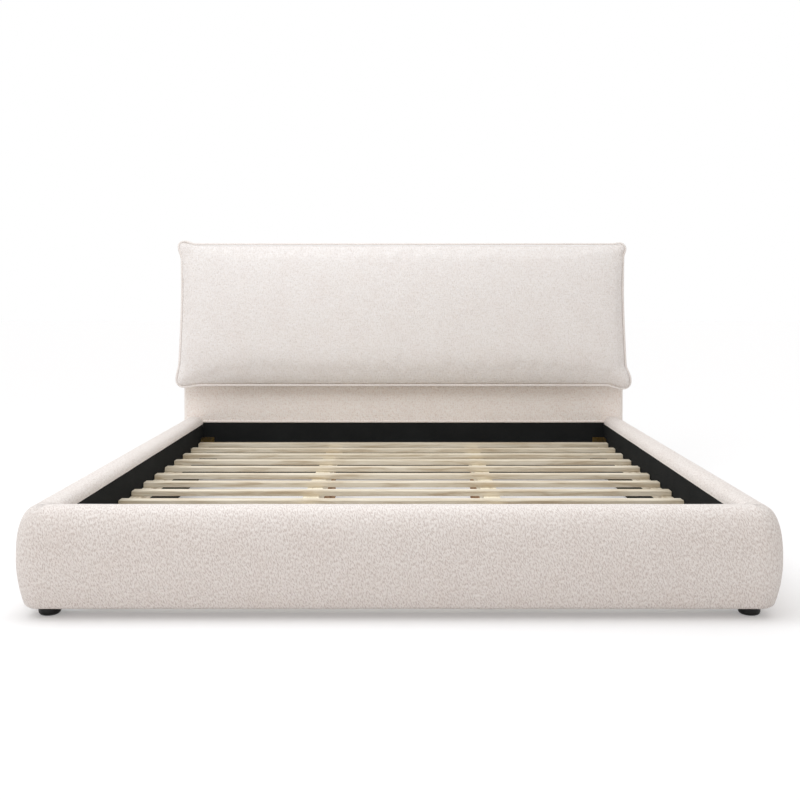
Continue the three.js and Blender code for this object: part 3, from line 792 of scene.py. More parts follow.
def side_rail(word, side):
    """The left (-1) or right (1) rail."""
    start, end = foot_face + JOINT_GAP, head_face - JOINT_GAP
    straight = np.linspace(start, end - HEAD_ROUND, int(round((end - start) / CLOTH_STEP)) + 1)
    turns = np.radians([15, 30, 45, 60, 75, 90])
    along_bed = np.concatenate([straight, end - HEAD_ROUND * (1 - np.sin(turns))])

    def place(column, row):
        by, far = section[row, 0], along_bed[column]
        into_end = np.clip((far - (end - HEAD_ROUND)) / HEAD_ROUND, 0, 1)
        rounded = HEAD_ROUND * (1 - np.sqrt(1 - into_end**2))
        by = by - rounded * np.clip((by - HEAD_PLAIN) / (rail_depth - HEAD_PLAIN), 0, 1)
        spots = np.column_stack([side * (well_half + by), far, section[row, 1]])
        return spots, np.column_stack([far, section_run[row]])

    rail = lay_cloth(f"{word}_rail_upholstery", len(along_bed) - 1, len(section) - 1, place)
    close_up()
    from_foot = (lambda spots: np.abs(spots[:, 1] - start), JOINT_DIP)
    from_head = (lambda spots: np.abs(spots[:, 1] - end), 0.0)
    soften(rail, 3 + side, (from_foot, from_head))
    recut_cloth(rail, lambda at, facing: (at.x, at.z) if abs(facing.y) > 0.75 else None)
    covered = (f"{word}_rail_cover", f"{word}_rail_foam")
    dress(rail, cream, "base", "cream_boucle", *covered, crease=CREASE)


side_rail("left", -1)
side_rail("right", 1)

# %% [markdown]
# The foot rail turns two corners. Seen from above, each level of the padding has its own
# outline: nearly square at the well and round on the outside. The cloth's columns run
# along that outline in five parts: a short side, a corner, the long front, and a corner
# and a side again.
# %% Plan the columns of the foot rail
CORNER_ROUND = 83 * MM
LEAST_ROUND = 4 * MM
SIDE_COLUMNS, CORNER_COLUMNS = 6, 20
front_columns = int(round(2 * (well_half + rail_depth - CORNER_ROUND) / CLOTH_STEP))
columns_of = [SIDE_COLUMNS, CORNER_COLUMNS, front_columns, CORNER_COLUMNS, SIDE_COLUMNS]
columns_of = np.array(columns_of)
starts_of = np.cumsum([0, *columns_of])
foot_columns = int(columns_of.sum())
foot_end = foot_face - JOINT_GAP


def around_foot(column, by):
    """Where a column is, seen from above, at that distance out from the well."""
    part = np.minimum(np.searchsorted(starts_of, column, side="right") - 1, 4)
    share = (column - starts_of[part]) / columns_of[part]
    side = np.sign(part - 2.0)
    from_end = np.where(part < 2, share, 1 - share)
    radius = np.clip(CORNER_ROUND - (rail_depth - by), LEAST_ROUND, None)
    radius = np.minimum(radius, by)
    half, front = well_half + by, foot_face - by
    turn = math.pi / 2 * from_end
    beside = (side * half, foot_end - (foot_end - (front + radius)) * from_end)
    corner_x = side * (half - radius + radius * np.cos(turn))
    corner = (corner_x, front + radius - radius * np.sin(turn))
    middle = ((half - radius) * (2 * share - 1), front)
    in_side, in_corner = abs(part - 2) == 2, abs(part - 2) == 1
    return [
        np.where(in_side, at_side, np.where(in_corner, at_corner, at_front))
        for at_side, at_corner, at_front in zip(beside, corner, middle)
    ]


print("foot rail", foot_columns, "columns")

# %% [markdown]
# Its rows follow the same section as the sides, so the covers meet in one line.
# %% Upholster the foot rail
def foot_place(column, row):
    """Where a point of the foot rail's cloth is, in space and on the roll."""
    x, y = around_foot(column, section[row, 0])
    run = (column - foot_columns / 2) * CLOTH_STEP
    return np.column_stack([x, y, section[row, 1]]), np.column_stack([run, section_run[row]])


def from_side_rails(spots):
    """The distance from the side rails, for points beside the well."""
    beside = np.abs(spots[:, 0]) > well_half - 2 * MM
    return np.where(beside, np.abs(spots[:, 1] - foot_end), 1.0)


foot_rail = lay_cloth("foot_rail_upholstery", foot_columns, len(section) - 1, foot_place)
close_up()
soften(foot_rail, 7, [(from_side_rails, JOINT_DIP)])
foot_covered = ("foot_rail_cover", "foot_rail_foam")
dress(foot_rail, cream, "base", "cream_boucle", *foot_covered, crease=CREASE)

# %% [markdown]
# ## Headboard
# The headboard is a panel wrapped in foam and cloth. Its outline is cut away at the
# bottom, where the black lining of the well comes up. It starts as a flat grid whose lines
# lie where the edges will be, and closer together where they will be round.
# %% Lay the headboard's front
EDGE_ROUND = 20 * MM
HEM_ROLL = 5.5 * MM
PANEL_STEP = 12 * MM
NEAR_EDGE = [0, 2.5 * MM, 6 * MM, 10 * MM, 15 * MM, EDGE_ROUND]
board_low, board_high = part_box("headboard_cover")
board_deep = board_high.y - board_low.y
board_half = board_high.x
hem = head_lining_top + 0.4 * MM


def stepped(fixed, step):
    """Places between fixed ones, about a step apart."""
    found = [fixed[0]]
    for a, b in zip(fixed, fixed[1:]):
        parts = max(int(round((b - a) / step)), 1)
        found += [a + (b - a) * i / parts for i in range(1, parts + 1)]
    return found


def to_edge(edge):
    """The last lines before an edge."""
    return [edge - gap for gap in NEAR_EDGE[-2::-1]]


rightwards = stepped([0, well_half, board_half - EDGE_ROUND], PANEL_STEP) + to_edge(board_half)
across = np.array([-x for x in rightwards[:0:-1]] + rightwards)
hem_lines = [hem + HEM_ROLL * (1 - math.cos(math.pi * i / 8)) for i in range(9)]
up = stepped([board_low.z, hem_lines[0]], PANEL_STEP)[:-1] + hem_lines[:-1]
up += stepped([hem_lines[-1], board_high.z - EDGE_ROUND], PANEL_STEP) + to_edge(board_high.z)
up = np.array(up)


def board_place(column, row):
    """Where a point of the headboard's front is; its cloth lies just as flat."""
    flat = np.column_stack([across[column], up[row]])
    return np.insert(flat, 1, head_face, axis=1), flat


headboard = lay_cloth("headboard_upholstery", len(across) - 1, len(up) - 1, board_place)
print("headboard front", len(across), "by", len(up), "lines")

# %% [markdown]
# The cells of the notch are deleted. The rest is extruded backwards in steps that are
# short near both faces. Then the mesh is closed up, and a pocket for the panel is pushed
# into its back.
# %% Give the headboard its depth
POCKET_EDGE = 25 * MM
POCKET_FLOOR = 40.7 * MM
at_back = head_face + board_deep - MM
pick(headboard, "FACE", lambda at, facing: abs(at.x) < well_half and at.z < hem)
bpy.ops.mesh.delete(type="FACE")
bpy.ops.mesh.select_all(action="SELECT")
gone = 0.0
for depth in NEAR_EDGE[1:] + [board_deep / 2] + [board_deep - gap for gap in NEAR_EDGE[::-1]]:
    extrude(0, depth - gone, 0)
    gone = depth
close_up()


def over_panel(at, facing):
    """The back faces that cover the panel."""
    between = head_lining_top + POCKET_EDGE < at.z < board_high.z - POCKET_EDGE
    return facing.y > 0.5 and at.y > at_back and abs(at.x) < board_half - POCKET_EDGE and between


pick(headboard, "FACE", over_panel)
extrude(0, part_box("headboard_frame")[0].y + POCKET_FLOOR - board_high.y, 0)
bpy.ops.object.mode_set(mode="OBJECT")
print("headboard", round(board_deep, 3), "m deep")

# %% [markdown]
# Foam rounds the outer edges: every point that lies outside an inner box, smaller by the
# rounding, is drawn in to that distance from it.
# %% Round the headboard's edges
board_spots = points_of(headboard.data)
inner_low = np.array([-board_half, board_low.y, -1.0 - EDGE_ROUND]) + EDGE_ROUND
inner_high = np.array([board_half, board_high.y, board_high.z]) - EDGE_ROUND
core = np.clip(board_spots, inner_low, inner_high)
away = board_spots - core
far = np.linalg.norm(away, axis=1, keepdims=True)
drawn_in = core + away * EDGE_ROUND / np.maximum(far, 1e-9)
board_spots = np.where(far > EDGE_ROUND, drawn_in, board_spots)
print(int((far > EDGE_ROUND).sum()), "points drawn in")

# %% [markdown]
# Above the lining the cloth ends in a rolled hem, and between the hem and the cushion the
# face is padded out a little. It is flat where the cushion rests on it.
# %% Roll the hem and pad the face
HEM_PROUD = 5 * MM
FACE_PROUD = 2.5 * MM
CUSHION_STARTS = 0.47
from_hem = board_spots[:, 2] - hem
in_front = board_spots[:, 1] < head_face + CLEAR
over_well = np.abs(board_spots[:, 0]) < well_half + MM
roll = np.clip(1 - ((from_hem - HEM_ROLL) / HEM_ROLL) ** 2, 0, 1) ** 0.5
below_cushion = np.clip((CUSHION_STARTS - board_spots[:, 2]) / 0.02, 0, 1)
above_hem = np.clip((from_hem - 2 * HEM_ROLL) / 0.03, 0, 1)
off_side = np.clip((board_half - 0.02 - np.abs(board_spots[:, 0])) / 0.05, 0, 1)
padding = below_cushion * above_hem * off_side * FACE_PROUD
board_spots[:, 1] -= in_front * (over_well * roll * HEM_PROUD + padding)
move_points(headboard.data, board_spots)
print("hem at", round(hem, 3), "m")

# %% [markdown]
# The open parts of the face get the foam's slow waves. Last, the cloth is wrapped round the
# sides and over the top, so its coordinates go on there with the depth.
# %% Soften and wrap the headboard
BOARD_WAVES = 0.8 * MM
beside_well = np.abs(board_spots[:, 0]) > well_half + 2 * MM
free = (from_hem > 3 * HEM_ROLL) & ((board_spots[:, 2] < CUSHION_STARTS - 0.01) | beside_well)
free &= board_spots[:, 1] < board_high.y - MM
board_waves = BOARD_WAVES * rumple(board_spots, 0.2, 12) * free
move_points(headboard.data, board_spots + normals_of(headboard.data) * board_waves[:, None])


def wrapped(at, facing):
    """The cloth's coordinates on the front, the sides and the top."""
    deeper = max(at.y - head_face, 0)
    if abs(facing.z) > abs(facing.x):
        return at.x, at.z + deeper
    return at.x + math.copysign(deeper, at.x), at.z


recut_cloth(headboard, wrapped)
board_covered = ("headboard_cover", "headboard_foam")
# The headboard takes the lighter copy of the cloth, whose tones are painted light.
dress(headboard, panel_lit_cream, "base", "cream_boucle", *board_covered, crease=CREASE)

# %% [markdown]
# ## The hanging cushion
# The cushion is two cloths sewn together all round and stuffed. Its seam is not a
# rectangle: the sides draw in to a waist, the bottom flares and the four corners stand
# out as small ears. An ear's measures are millimetres, for the left and for the right.
# %% Measure the seam and its ears
SEAM_LOW = 474.3 * MM
SEAM_HIGH = 1142 * MM
SEAM_FORWARD = 68 * MM
SEAM_LEAN = 28 * MM
SEAM_INSIDE = 10.2 * MM
WAIST = 0.63
LOW_FLARE, HIGH_FLARE = 15 * MM, 5 * MM
HANGS_ASIDE = -4.5 * MM
LOW_EAR = {
    "out": (10, 20),
    "along": (-10, -18),
    "round": (34, 34),
    "far": (100, 92),
    "near": (40, 45),
}
HIGH_EAR = {
    "out": (14, 10),
    "along": (16, 7),
    "round": (24, 27),
    "far": (66, 56),
    "near": (28, 24),
}
seam_half = board_high.x - SEAM_INSIDE
seam_tall = SEAM_HIGH - SEAM_LOW


def of_ear(a, b, part):
    """That measure of the nearest ear, in metres."""
    low = np.where(a < 0, *LOW_EAR[part])
    high = np.where(a < 0, *HIGH_EAR[part])
    return np.where(b < 0.5, low, high) * MM


def to_ends(a, b):
    """How far a place is from the nearest side, and from the top or the bottom."""
    return (1 - np.abs(a)) * seam_half, (0.5 - np.abs(b - 0.5)) * seam_tall


print("seam", round(2 * seam_half, 3), "by", round(seam_tall, 3), "m")

# %% [markdown]
# A place on the cushion is written as two numbers: a runs from -1 to 1 across and b from 0
# to 1 upwards. The seam's surface leans towards the headboard at its top.
# %% Draw the seam
def eased(value):
    """From 0 to 1 with a soft start and end."""
    value = np.clip(value, 0, 1)
    return value * value * (3 - 2 * value)


def seam_depth(b):
    """How far back the seam is at that share of its height."""
    return head_face - SEAM_FORWARD + b * SEAM_LEAN


def seam_place(a, b):
    """Where the seam's surface is."""
    away = np.where(b < WAIST, 1 - b / WAIST, (b - WAIST) / (1 - WAIST))
    half = seam_half + np.where(b < WAIST, LOW_FLARE, HIGH_FLARE) * away**1.5
    from_side, from_end = to_ends(a, b)
    far, near = of_ear(a, b, "far"), of_ear(a, b, "near")
    ear = eased((far - from_side) / (far - near)) * eased((far - from_end) / (far - near))
    x = HANGS_ASIDE + a * half + np.sign(a) * of_ear(a, b, "out") * ear
    z = SEAM_LOW + b * seam_tall + of_ear(a, b, "along") * ear
    return np.column_stack([x, seam_depth(b), z])


def round_corner(a, b):
    """The same places, drawn in at the corners so that the ears are round."""
    radius = of_ear(a, b, "round")
    from_side, from_end = to_ends(a, b)
    u = np.clip(1 - from_side / radius, 0, 1)
    v = np.clip(1 - from_end / radius, 0, 1)
    new_u, new_v = u * np.sqrt(1 - v * v / 2), v * np.sqrt(1 - u * u / 2)
    a = np.sign(a) * (np.abs(a) - (u - new_u) * radius / seam_half)
    b = 0.5 + np.sign(b - 0.5) * (np.abs(b - 0.5) - (v - new_v) * radius / seam_tall)
    return a, b


corner = seam_place(*round_corner(np.array([1.0]), np.array([0.0])))[0]
print("low right corner of the seam at", [round(float(part), 3) for part in corner])

# %% [markdown]
# Stuffing fills the front most low down, and each ear a little, while the back lies flat on
# the headboard. The two cloths are laid as one grid, front and then back, that meets itself
# along the seam. The front is laid a little flatter than the finished cushion.
# %% Lay the cushion's cloths
ACROSS, UP = 176, 54
FULLEST = 66 * MM
FULLEST_AT = 0.3
EAR_IN, EAR_PUFF, EAR_SIZE = 26 * MM, 8 * MM, 24 * MM
LAID_FLATTER = 0.93
BACK_GAP = 0.6 * MM


def crowded(share):
    """Even steps, drawn closer together near both ends."""
    return share - 0.055 * np.sin(2 * np.pi * share)


def stuffing(a, b):
    """How full the front is, in metres."""
    high = b > FULLEST_AT
    over, under = (b - FULLEST_AT) / (1 - FULLEST_AT), (FULLEST_AT - b) / FULLEST_AT
    fall = np.where(high, np.abs(over) ** 3.1, np.abs(under) ** 2.3)
    full = FULLEST * np.clip(1 - fall, 0, 1) ** np.where(high, 0.5, 0.66)
    full *= np.sqrt(np.clip(1 - np.abs(a) ** 14, 0, 1))
    from_side, from_end = to_ends(a, b)
    from_ear = (from_side - EAR_IN) ** 2 + (from_end - EAR_IN) ** 2
    return full + EAR_PUFF * np.exp(-from_ear / EAR_SIZE**2)


def cushion_place(column, row):
    """Where a point of the two cloths is; rows above UP come down again behind."""
    front = row <= UP
    b = crowded(np.where(front, row / UP, 2 - row / UP))
    a, b = round_corner(2 * crowded(column / ACROSS) - 1, b)
    spots = seam_place(a, b)
    flat_back = head_face - BACK_GAP - spots[:, 1]
    flat_back *= np.sqrt(np.clip(1 - np.abs(2 * b - 1) ** 5, 0, 1))
    flat_back *= np.sqrt(np.clip(1 - np.abs(a) ** 30, 0, 1))
    spots[:, 1] += np.where(front, -LAID_FLATTER * stuffing(a, b), flat_back)
    return spots, spots[:, [0, 2]]


cushion = lay_cloth("cushion_upholstery", ACROSS, 2 * UP, cushion_place)
close_up()
print("cushion laid with", len(cushion.data.vertices), "points")

# %% [markdown]
# A cloth simulation blows the two cloths up. The seam is pinned, and how far a point may go
# is capped, so that the cushion keeps its measured shape and gains the small tucks of real
# stuffing.
# %% Stuff the cushion
SWELL = 3.5 * MM
SEAM_NEAR = 0.5 * MM
BLOWN_FOR = 20
STUFFING = {
    "quality": 5,
    "mass": 0.4,
    "tension_stiffness": 20,
    "compression_stiffness": 20,
    "bending_stiffness": 4,
    "vertex_group_mass": "seam",
    "use_pressure": True,
    "uniform_pressure_force": 4,
    "shrink_min": -0.012,
}


def height_share(spots):
    """How far up the seam each point is, from 0 to 1."""
    return (spots[:, 2] - SEAM_LOW) / seam_tall


def stuff():
    """Blows the cushion up with cloth physics and caps how far each point goes."""
    before = points_of(cushion.data)
    seam = cushion.vertex_groups.new(name="seam")
    at_seam = np.abs(before[:, 1] - seam_depth(height_share(before))) < SEAM_NEAR
    seam.add([int(i) for i in np.flatnonzero(at_seam)], 1.0, "REPLACE")
    start_fresh(cushion)
    cloth = cushion.modifiers.new("stuffing", "CLOTH")
    for key, value in STUFFING.items():
        setattr(cloth.settings, key, value)
    cloth.settings.effector_weights.gravity = 0
    cloth.point_cache.frame_start, cloth.point_cache.frame_end = 1, BLOWN_FOR
    for moment in range(1, BLOWN_FOR + 1):
        bpy.context.scene.frame_set(moment)
    bpy.ops.object.modifier_apply(modifier=cloth.name)
    bpy.context.scene.frame_set(1)
    step = points_of(cushion.data) - before
    far = np.linalg.norm(step, axis=1, keepdims=True)
    capped = before + step * np.minimum(1, SWELL / np.maximum(far, 1e-9))
    capped[:, 1] = np.minimum(capped[:, 1], head_face - CLEAR)
    move_points(cushion.data, capped)
    print("stuffed: moved", round(float(far.mean()) * 1000, 1), "mm on average")


stuff()

# %% [markdown]
# Subdivision makes the cushion smooth. Beside the seam its front pulls into small upright
# tucks, and further in it has slow waves.
# %% Pull the tucks
TUCKS, TUCK_SIZE, TUCK_REACH = 1.3 * MM, 0.028, 0.035
SLOW_WAVES, SLOW_SIZE, SLOW_START = 0.6 * MM, 0.19, 0.08
add_modifier(cushion, "SUBSURF", levels=1, render_levels=1)
spots, normals = points_of(cushion.data), normals_of(cushion.data)
from_side = seam_half + 6 * MM - np.abs(spots[:, 0])
from_rim = np.minimum.reduce([from_side, spots[:, 2] - SEAM_LOW, SEAM_HIGH - spots[:, 2]])
rim = np.exp(-((np.clip(from_rim, 0, 1) / TUCK_REACH) ** 2)) * np.clip(from_rim / 0.008, 0, 1)
tucks = TUCKS * rim * rumple(spots * np.array([1, 0.2, 1]), TUCK_SIZE, 21)
slow = SLOW_WAVES * np.clip(from_rim / SLOW_START, 0, 1) * rumple(spots, SLOW_SIZE, 22)
cushion_front = spots[:, 1] < seam_depth(height_share(spots)) + MM
spots += normals * ((tucks + slow) * cushion_front)[:, None]
spots[:, 1] = np.minimum(spots[:, 1], head_face - CLEAR)
move_points(cushion.data, spots)
dress(cushion, pale_cream, "cushion", "cream_boucle", "cushion_cover", "cushion_filling")

# %% [markdown]
# The piping is a cord in its own strip of the same cloth, sewn into the seam all round.
# It follows the seam just outside it, round every ear, and a little closer at the sides.
# %% Plan the cord
PIPING = 5.5 * MM
CORD_STEP = 7 * MM
CORD_OUT, CORD_SIDE_IN = 0.9, 0.55
RIM_POINTS = 900


def rim_path():
    """Points along the seam, anticlockwise from the middle of the bottom."""
    share = crowded(np.linspace(0, 1, RIM_POINTS, endpoint=False))
    low = np.column_stack([2 * share - 1, 0 * share])
    right = np.column_stack([1 + 0 * share, share])
    high = np.column_stack([1 - 2 * share, 1 + 0 * share])
    left = np.column_stack([0 * share - 1, 1 - share])
    line = seam_place(*round_corner(*np.vstack([low, right, high, left]).T))
    half = RIM_POINTS // 2
    return evenly(np.vstack([line[half:], line[: half + 1]]), CORD_STEP)


path, run = rim_path()
path, run = path[:-1], run[:-1]
ahead = np.roll(path, -1, axis=0) - np.roll(path, 1, axis=0)
ahead /= np.linalg.norm(ahead, axis=1, keepdims=True)
forward = np.array([0.0, -1.0, 0.0]) + ahead * ahead[:, 1:2]
forward /= np.linalg.norm(forward, axis=1, keepdims=True)
outward = np.cross(ahead, forward)
at_side = np.clip((np.abs(path[:, 0]) - seam_half + 60 * MM) / (50 * MM), 0, 1)
centre = path + outward * PIPING * (CORD_OUT - CORD_SIDE_IN * at_side)[:, None]
print(round(float(run[-1]), 2), "m of cord")

# %% [markdown]
# The cord is a grid rolled up along that path, so that its weave follows it.
# %% Sew in the piping
CORD_SIDES = 10


def cord_place(column, row):
    """Where a point of the cord is; the last column meets the first."""
    i = column % len(path)
    turn = 2 * np.pi * row / CORD_SIDES
    ring = np.cos(turn)[:, None] * outward[i] + np.sin(turn)[:, None] * forward[i]
    along = run[i] + (column // len(path)) * run[-1]
    return centre[i] + ring * PIPING, np.column_stack([along, PIPING * turn])


piping = lay_cloth("cushion_piping_cord", len(path), CORD_SIDES, cord_place)
close_up()
dress(piping, cord_cream, "cushion", "cream_boucle", "cushion_piping")

# %% [markdown]
# The cushion hangs by a flap of the same cloth. It is sewn in behind the top piping, lies
# over the headboard's top and grips a strip of hook tape down the back. Its path is drawn
# as (back, up): from the seam over the top, round a bend and down.
# %% Plan the flap
FLAP_STEP = 8 * MM
FLAP_BEND = 12 * MM
OVER_TOP = 2.2 * MM
BEHIND_TAPE = 3.4 * MM
flap_low, flap_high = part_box("cushion_flap")
tape_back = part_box("headboard_hook_tape")[1].y
top = board_high.z
bend_y, bend_z = tape_back + BEHIND_TAPE - FLAP_BEND, top + OVER_TOP - FLAP_BEND
over = [(head_face - 37 * MM, 1132.5 * MM), (head_face - 20 * MM, 1128 * MM)]
over += [(head_face - 4 * MM, top + 3.2 * MM), (head_face + 30 * MM, top + OVER_TOP)]
bend = arc((bend_y, bend_z), FLAP_BEND, math.pi / 2, 0, 8)
down = [(bend_y + FLAP_BEND, flap_low.z)]
flap_line, flap_run = evenly(np.vstack([over, bend, down]), FLAP_STEP)
flap_columns = int(round(flap_high.x / FLAP_STEP))

# %% [markdown]
# It is laid along its path with slow waves where it is free of the seam, and is given its
# thickness.
# %% Hang the flap
FLAP_THICK = 2.6 * MM
FLAP_WAVES = 1.6 * MM
flap_ahead = np.gradient(flap_line, axis=0)
flap_ahead /= np.linalg.norm(flap_ahead, axis=1, keepdims=True)
flap_out = np.column_stack([-flap_ahead[:, 1], flap_ahead[:, 0]])


def flap_place(column, row):
    """Where a point of the flap is, across the bed and along its path."""
    x = flap_high.x * (2 * column / flap_columns - 1)
    spots = np.column_stack([x, flap_line[row]])
    free = np.clip(flap_run[row] / 0.05, 0, 1)
    lift = FLAP_WAVES * free * (1 + rumple(spots * np.array([1, 1, 0.4]), 0.12, 31)) / 2
    spots[:, 1:] += flap_out[row] * lift[:, None]
    return spots, np.column_stack([x, flap_run[row]])


flap = lay_cloth("cushion_flap_cloth", flap_columns, len(flap_line) - 1, flap_place)
add_modifier(flap, "SOLIDIFY", thickness=FLAP_THICK, offset=1.0)
bpy.ops.object.mode_set(mode="EDIT")
face_outwards()
bpy.ops.object.mode_set(mode="OBJECT")
dress(flap, pale_cream, "cushion", "cream_boucle", "cushion_flap", crease=CREASE)

# %% [markdown]
# The flap's own strip of tape goes with it.
# %% Sew the tape to the flap
TAPE_THICK = 1.3 * MM
TAPE_TALL = 46 * MM
start_fresh()
bpy.ops.mesh.primitive_cube_add(
    size=1,
    location=(0, tape_back + 1.05 * MM, flap_low.z + 25 * MM),
    scale=(flap_high.x * 2 - 20 * MM, TAPE_THICK, TAPE_TALL),
)
loop_tape = named("flap_loop_tape")
bevel(loop_tape, lambda at, along: True, 0.4 * MM, 2)
dress(loop_tape, tape, "cushion", "hook_tape", crease=40)

# %% [markdown]
# ## Linings
# Black cloth covers the boards inside the well and the headboard's back. It is stapled
# tight, so it is nearly flat. Its thickness goes away from the side that shows.
# %% Finish a lining
LINING = 1.4 * MM


def finish_lining(cloth, node, faces):
    """Turns the cloth to face that way, and gives it its thickness and its finish."""
    start_fresh(cloth)
    facing = np.array([face.normal for face in cloth.data.polygons]).mean(axis=0)
    if facing @ faces < 0:
        bpy.ops.object.mode_set(mode="EDIT")
        bpy.ops.mesh.select_all(action="SELECT")
        bpy.ops.mesh.flip_normals()
        bpy.ops.object.mode_set(mode="OBJECT")
    add_modifier(cloth, "SOLIDIFY", thickness=LINING, offset=-1.0)
    dress(cloth, black, "base", "black_lining", node, crease=CREASE)


# %% [markdown]
# The well has two long linings on the side rails and two short ones at its ends. Each is
# laid as a grid on its board, with shallow pulls into the well in its upper part.
# %% Line the well
PULL = 1.1 * MM
LEANS_ABOVE = 0.195


def lining(name, node, toward_well, seed):
    """A tight cloth on the face of its measured lining that shows in the well."""
    low, high = (np.array(corner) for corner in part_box(node))
    start = np.where(toward_well > 0, high, low)
    along = (high - low) * (toward_well == 0)
    long, tall = float(along[0] + along[1]), float(along[2])
    columns, rows = max(int(long / 0.03), 2), max(int(tall / 0.02), 2)

    def place(column, row):
        far, up = column / columns, row / rows
        spots = start + along * np.column_stack([far, far, up])
        free = np.clip((spots[:, 2] - LEANS_ABOVE) / 0.03, 0, 1) * np.clip((1 - up) / 0.15, 0, 1)
        lean = PULL * free * (1 + rumple(spots, 0.11, seed)) / 2
        return spots + lean[:, None] * toward_well, np.column_stack([long * far, tall * up])

    cloth = lay_cloth(name, columns, rows, place)
    finish_lining(cloth, node, toward_well)


lining("left_side_lining", "left_rail_lining", np.array([1, 0, 0]), 16)
lining("right_side_lining", "right_rail_lining", np.array([-1, 0, 0]), 17)
lining("foot_end_lining", "foot_rail_lining", np.array([0, 1, 0]), 15)
lining("head_end_lining", "head_lining", np.array([0, -1, 0]), 15)

# %% [markdown]
# The headboard's back is closed by the same cloth, a little slack away from its edges.
# %% Lay the headboard's back cloth
BACK_COLUMNS, BACK_ROWS = 100, 50
SLACK = 0.5 * MM
SLACK_REACH = 0.1
back_low, back_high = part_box("headboard_back_cloth")
wide, tall = back_high.x - back_low.x, back_high.z - back_low.z


def back_place(column, row):
    """Where a point of the back cloth is; it lies just as flat."""
    from_left, from_low = wide * column / BACK_COLUMNS, tall * row / BACK_ROWS
    from_edge = np.minimum.reduce([from_left, wide - from_left, from_low, tall - from_low])
    y = np.full(len(column), back_high.y - 0.2 * MM)
    spots = np.column_stack([back_low.x + from_left, y, back_low.z + from_low])
    slack = SLACK * np.clip(from_edge / SLACK_REACH, 0, 1)
    spots[:, 1] -= slack * (1 + rumple(spots, 0.17, 41))
    return spots, spots[:, [0, 2]]


back_cloth = lay_cloth("headboard_back_lining", BACK_COLUMNS, BACK_ROWS, back_place)
print("back cloth", round(wide, 3), "by", round(tall, 3), "m")

# %% [markdown]
# It is stapled every few centimetres. One staple is modelled as a short piece of wire and
# copied round the edge. Staples and screws are copied and joined by the same helper.
# %% Staple the back cloth
STAPLE_WIDE = 11 * MM
STAPLE_WIRE = 0.6 * MM
STAPLE_PITCH = 70 * MM
EDGE_IN = 9 * MM


def copied(model, places, name):
    """Copies of a small part at places and turns, joined to one piece."""
    copies = []
    for at, turn in places:
        copy = model.copy()
        copy.data = model.data.copy()
        copy.location = at
        copy.rotation_euler = turn
        bpy.context.scene.collection.objects.link(copy)
        copies.append(copy)
    start_fresh(copies[0])
    for copy in copies:
        copy.select_set(True)
    bpy.ops.object.join()
    print(len(copies), "in", name)
    return named(name)


start_fresh()
bpy.ops.mesh.primitive_cube_add(size=1, scale=(STAPLE_WIDE, 2 * STAPLE_WIRE, 2 * STAPLE_WIRE))
staple = named("staple")
bevel(staple, lambda at, along: abs(along.y) < 0.5, 0.35 * STAPLE_WIRE, 1)
staple.data.materials.append(zinc)
staple_y = back_high.y + 0.25 * MM
lying, standing = (0, 0, 0), (0, math.radians(90), 0)
staple_places = []
for x in np.arange(back_low.x + 0.04, back_high.x - 0.03, STAPLE_PITCH):
    ends = (back_low.z + EDGE_IN, back_high.z - EDGE_IN)
    staple_places += [((x, staple_y, z), lying) for z in ends]
for z in np.arange(back_low.z + 0.05, back_high.z - 0.04, STAPLE_PITCH):
    ends = (back_low.x + EDGE_IN, back_high.x - EDGE_IN)
    staple_places += [((x, staple_y, z), standing) for x in ends]
staples = copied(staple, staple_places, "back_staples")
bpy.data.objects.remove(staple)
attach(staples, "base")
backwards = np.array([0, 1, 0])
back_node = "headboard_back_cloth"
finish_lining(back_cloth, back_node, backwards)

# %% [markdown]
# ## Wood
# The slats, cleats, rails, ledgers and legs are shaped in the measured model already,
# with eased edges. They keep those shapes and get their finish: each slat lies elsewhere
# in the grain's pattern, so no two look alike.
# %% Finish the wooden parts
def refinish(finish, wanted):
    """Gives measured parts, picked by their name, their finish; they keep their shape."""
    parts = [part for node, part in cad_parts.items() if wanted(node)]
    for part in parts:
        part.data.materials.clear()
        part.data.materials.append(finish)
    print(finish.name, "on", len(parts), "parts")


refinish(poplar, lambda node: node.startswith("slat_"))
refinish(poplar_along, lambda node: node.endswith("_slat_cleat"))
refinish(pine_across, lambda node: node.endswith("_ledger"))
refinish(pine_along, lambda node: node.endswith("_centre_rail"))
refinish(brown_legs, lambda node: node.endswith("_leg"))
refinish(plywood, lambda node: node.endswith(("_board", "_frame")))

# %% [markdown]
# ## Hardware and feet
# Steel brackets hold the corners. They keep their measured plates and bolts, and get
# screws: a low round head with a stepped hollow, from a cylinder whose top is inset twice.
# %% Model a screw
SCREW_RADIUS = 4.2 * MM
SCREW_HEAD = 2.2 * MM
HOLLOWS = ((1.4 * MM, 0.9 * MM), (0.7 * MM, 0.5 * MM))
refinish(zinc, lambda node: node.endswith(("_bracket", "_bolt")))
refinish(tape, lambda node: node == "headboard_hook_tape")
start_fresh()
bpy.ops.mesh.primitive_cylinder_add(
    vertices=20, radius=SCREW_RADIUS, depth=SCREW_HEAD, location=(0, 0, SCREW_HEAD / 2)
)
screw = named("bracket_screw")
bevel(screw, lambda at, along: at.z > 0.9 * SCREW_HEAD, 0.8 * MM, 2)
pick(screw, "FACE", lambda at, facing: facing.z > 0.99)
for narrower, deeper in HOLLOWS:
    bpy.ops.mesh.inset(thickness=narrower)
    extrude(0, 0, -deeper)
bpy.ops.object.mode_set(mode="OBJECT")
screw.data.materials.append(zinc)
smooth(screw, 35)

# %% [markdown]
# Each bracket gets four screws, two in the plate across the bed and two in the one along it.
# %% Screw on the brackets
PLATE = 3 * MM
SIDE_PLATE = 3.3 * MM
SCREW_IN = 42 * MM
SCREW_ALONG = 40 * MM
SCREW_UP = 14 * MM


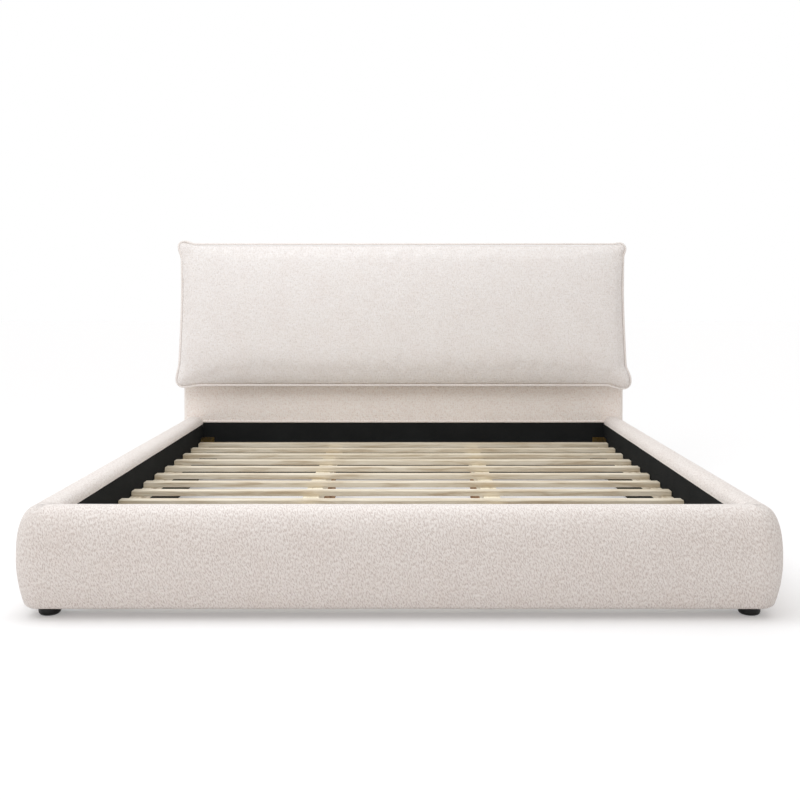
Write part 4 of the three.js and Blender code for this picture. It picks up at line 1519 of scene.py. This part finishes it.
def turned_to(direction):
    """The turn that points a screw's head that way."""
    return Vector(direction).to_track_quat("Z", "X").to_euler()


for end, toward, end_face in (("foot", 1, foot_face), ("head", -1, head_face)):
    for word, side in (("left", -1), ("right", 1)):
        low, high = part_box(f"{end}_{word}_bracket")
        plate_y = low.y + PLATE if end == "foot" else high.y - PLATE
        screw_places = []
        for z in (low.z + SCREW_UP, high.z - SCREW_UP):
            on_plate = (side * (well_half - SCREW_IN), plate_y, z)
            on_side = (side * (well_half - SIDE_PLATE), end_face + toward * SCREW_ALONG, z)
            screw_places.append((on_plate, turned_to((0, toward, 0))))
            screw_places.append((on_side, turned_to((-side, 0, 0))))
        screws = copied(screw, screw_places, f"{end}_{word}_bracket_screws")
        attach(screws, "base")
bpy.data.objects.remove(screw)

# %% [markdown]
# The feet are moulded discs with a rounded tread that is hollow in its middle. The legs'
# glides are smaller and have a stem. Both start as cylinders with enough sides to look
# round.
# %% Turn the feet and the glides
DISC_SIDES = 56
TOP_BEVEL = 0.8 * MM
RECESS = 1.2 * MM
FOOT_ROUND, GLIDE_ROUND = 12 * MM, 2.5 * MM
GLIDE_TALL = 8 * MM
STEM_RADIUS = 4 * MM


def disc(node, tall, rounding):
    """A disc on the floor in the place of that measured part."""
    low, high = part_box(node)
    radius, middle = (high.x - low.x) / 2, (low + high) / 2
    start_fresh()
    bpy.ops.mesh.primitive_cylinder_add(
        vertices=DISC_SIDES, radius=radius, depth=tall, location=(middle.x, middle.y, tall / 2)
    )
    made = named(f"{node}_disc")
    bevel(made, lambda at, along: at.z < 0.1 * MM, rounding, 5, 0.55)
    bevel(made, lambda at, along: at.z > tall - 0.1 * MM, TOP_BEVEL, 2)
    pick(made, "FACE", lambda at, facing: facing.z < -0.99 and at.z < 0.01 * MM)
    bpy.ops.mesh.inset(thickness=radius * 0.35)
    extrude(0, 0, RECESS)
    bpy.ops.mesh.inset(thickness=radius * 0.12)
    bpy.ops.object.mode_set(mode="OBJECT")
    return made


for row in ("front", "back"):
    for word in ("left", "right"):
        node = f"{row}_{word}_foot"
        foot = disc(node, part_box(node)[1].z, FOOT_ROUND)
        dress(foot, plastic, "base", "black_plastic", node, crease=35)
for end in ("foot", "head"):
    for word in ("left", "right"):
        node = f"{end}_{word}_glide"
        low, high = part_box(node)
        glide = disc(node, GLIDE_TALL, GLIDE_ROUND)
        pick(glide, "FACE", lambda at, facing: facing.z > 0.99)
        bpy.ops.mesh.inset(thickness=(high.x - low.x) / 2 - TOP_BEVEL - STEM_RADIUS)
        extrude(0, 0, high.z - GLIDE_TALL)
        bpy.ops.object.mode_set(mode="OBJECT")
        dress(glide, plastic, node, "black_plastic", node, crease=35)
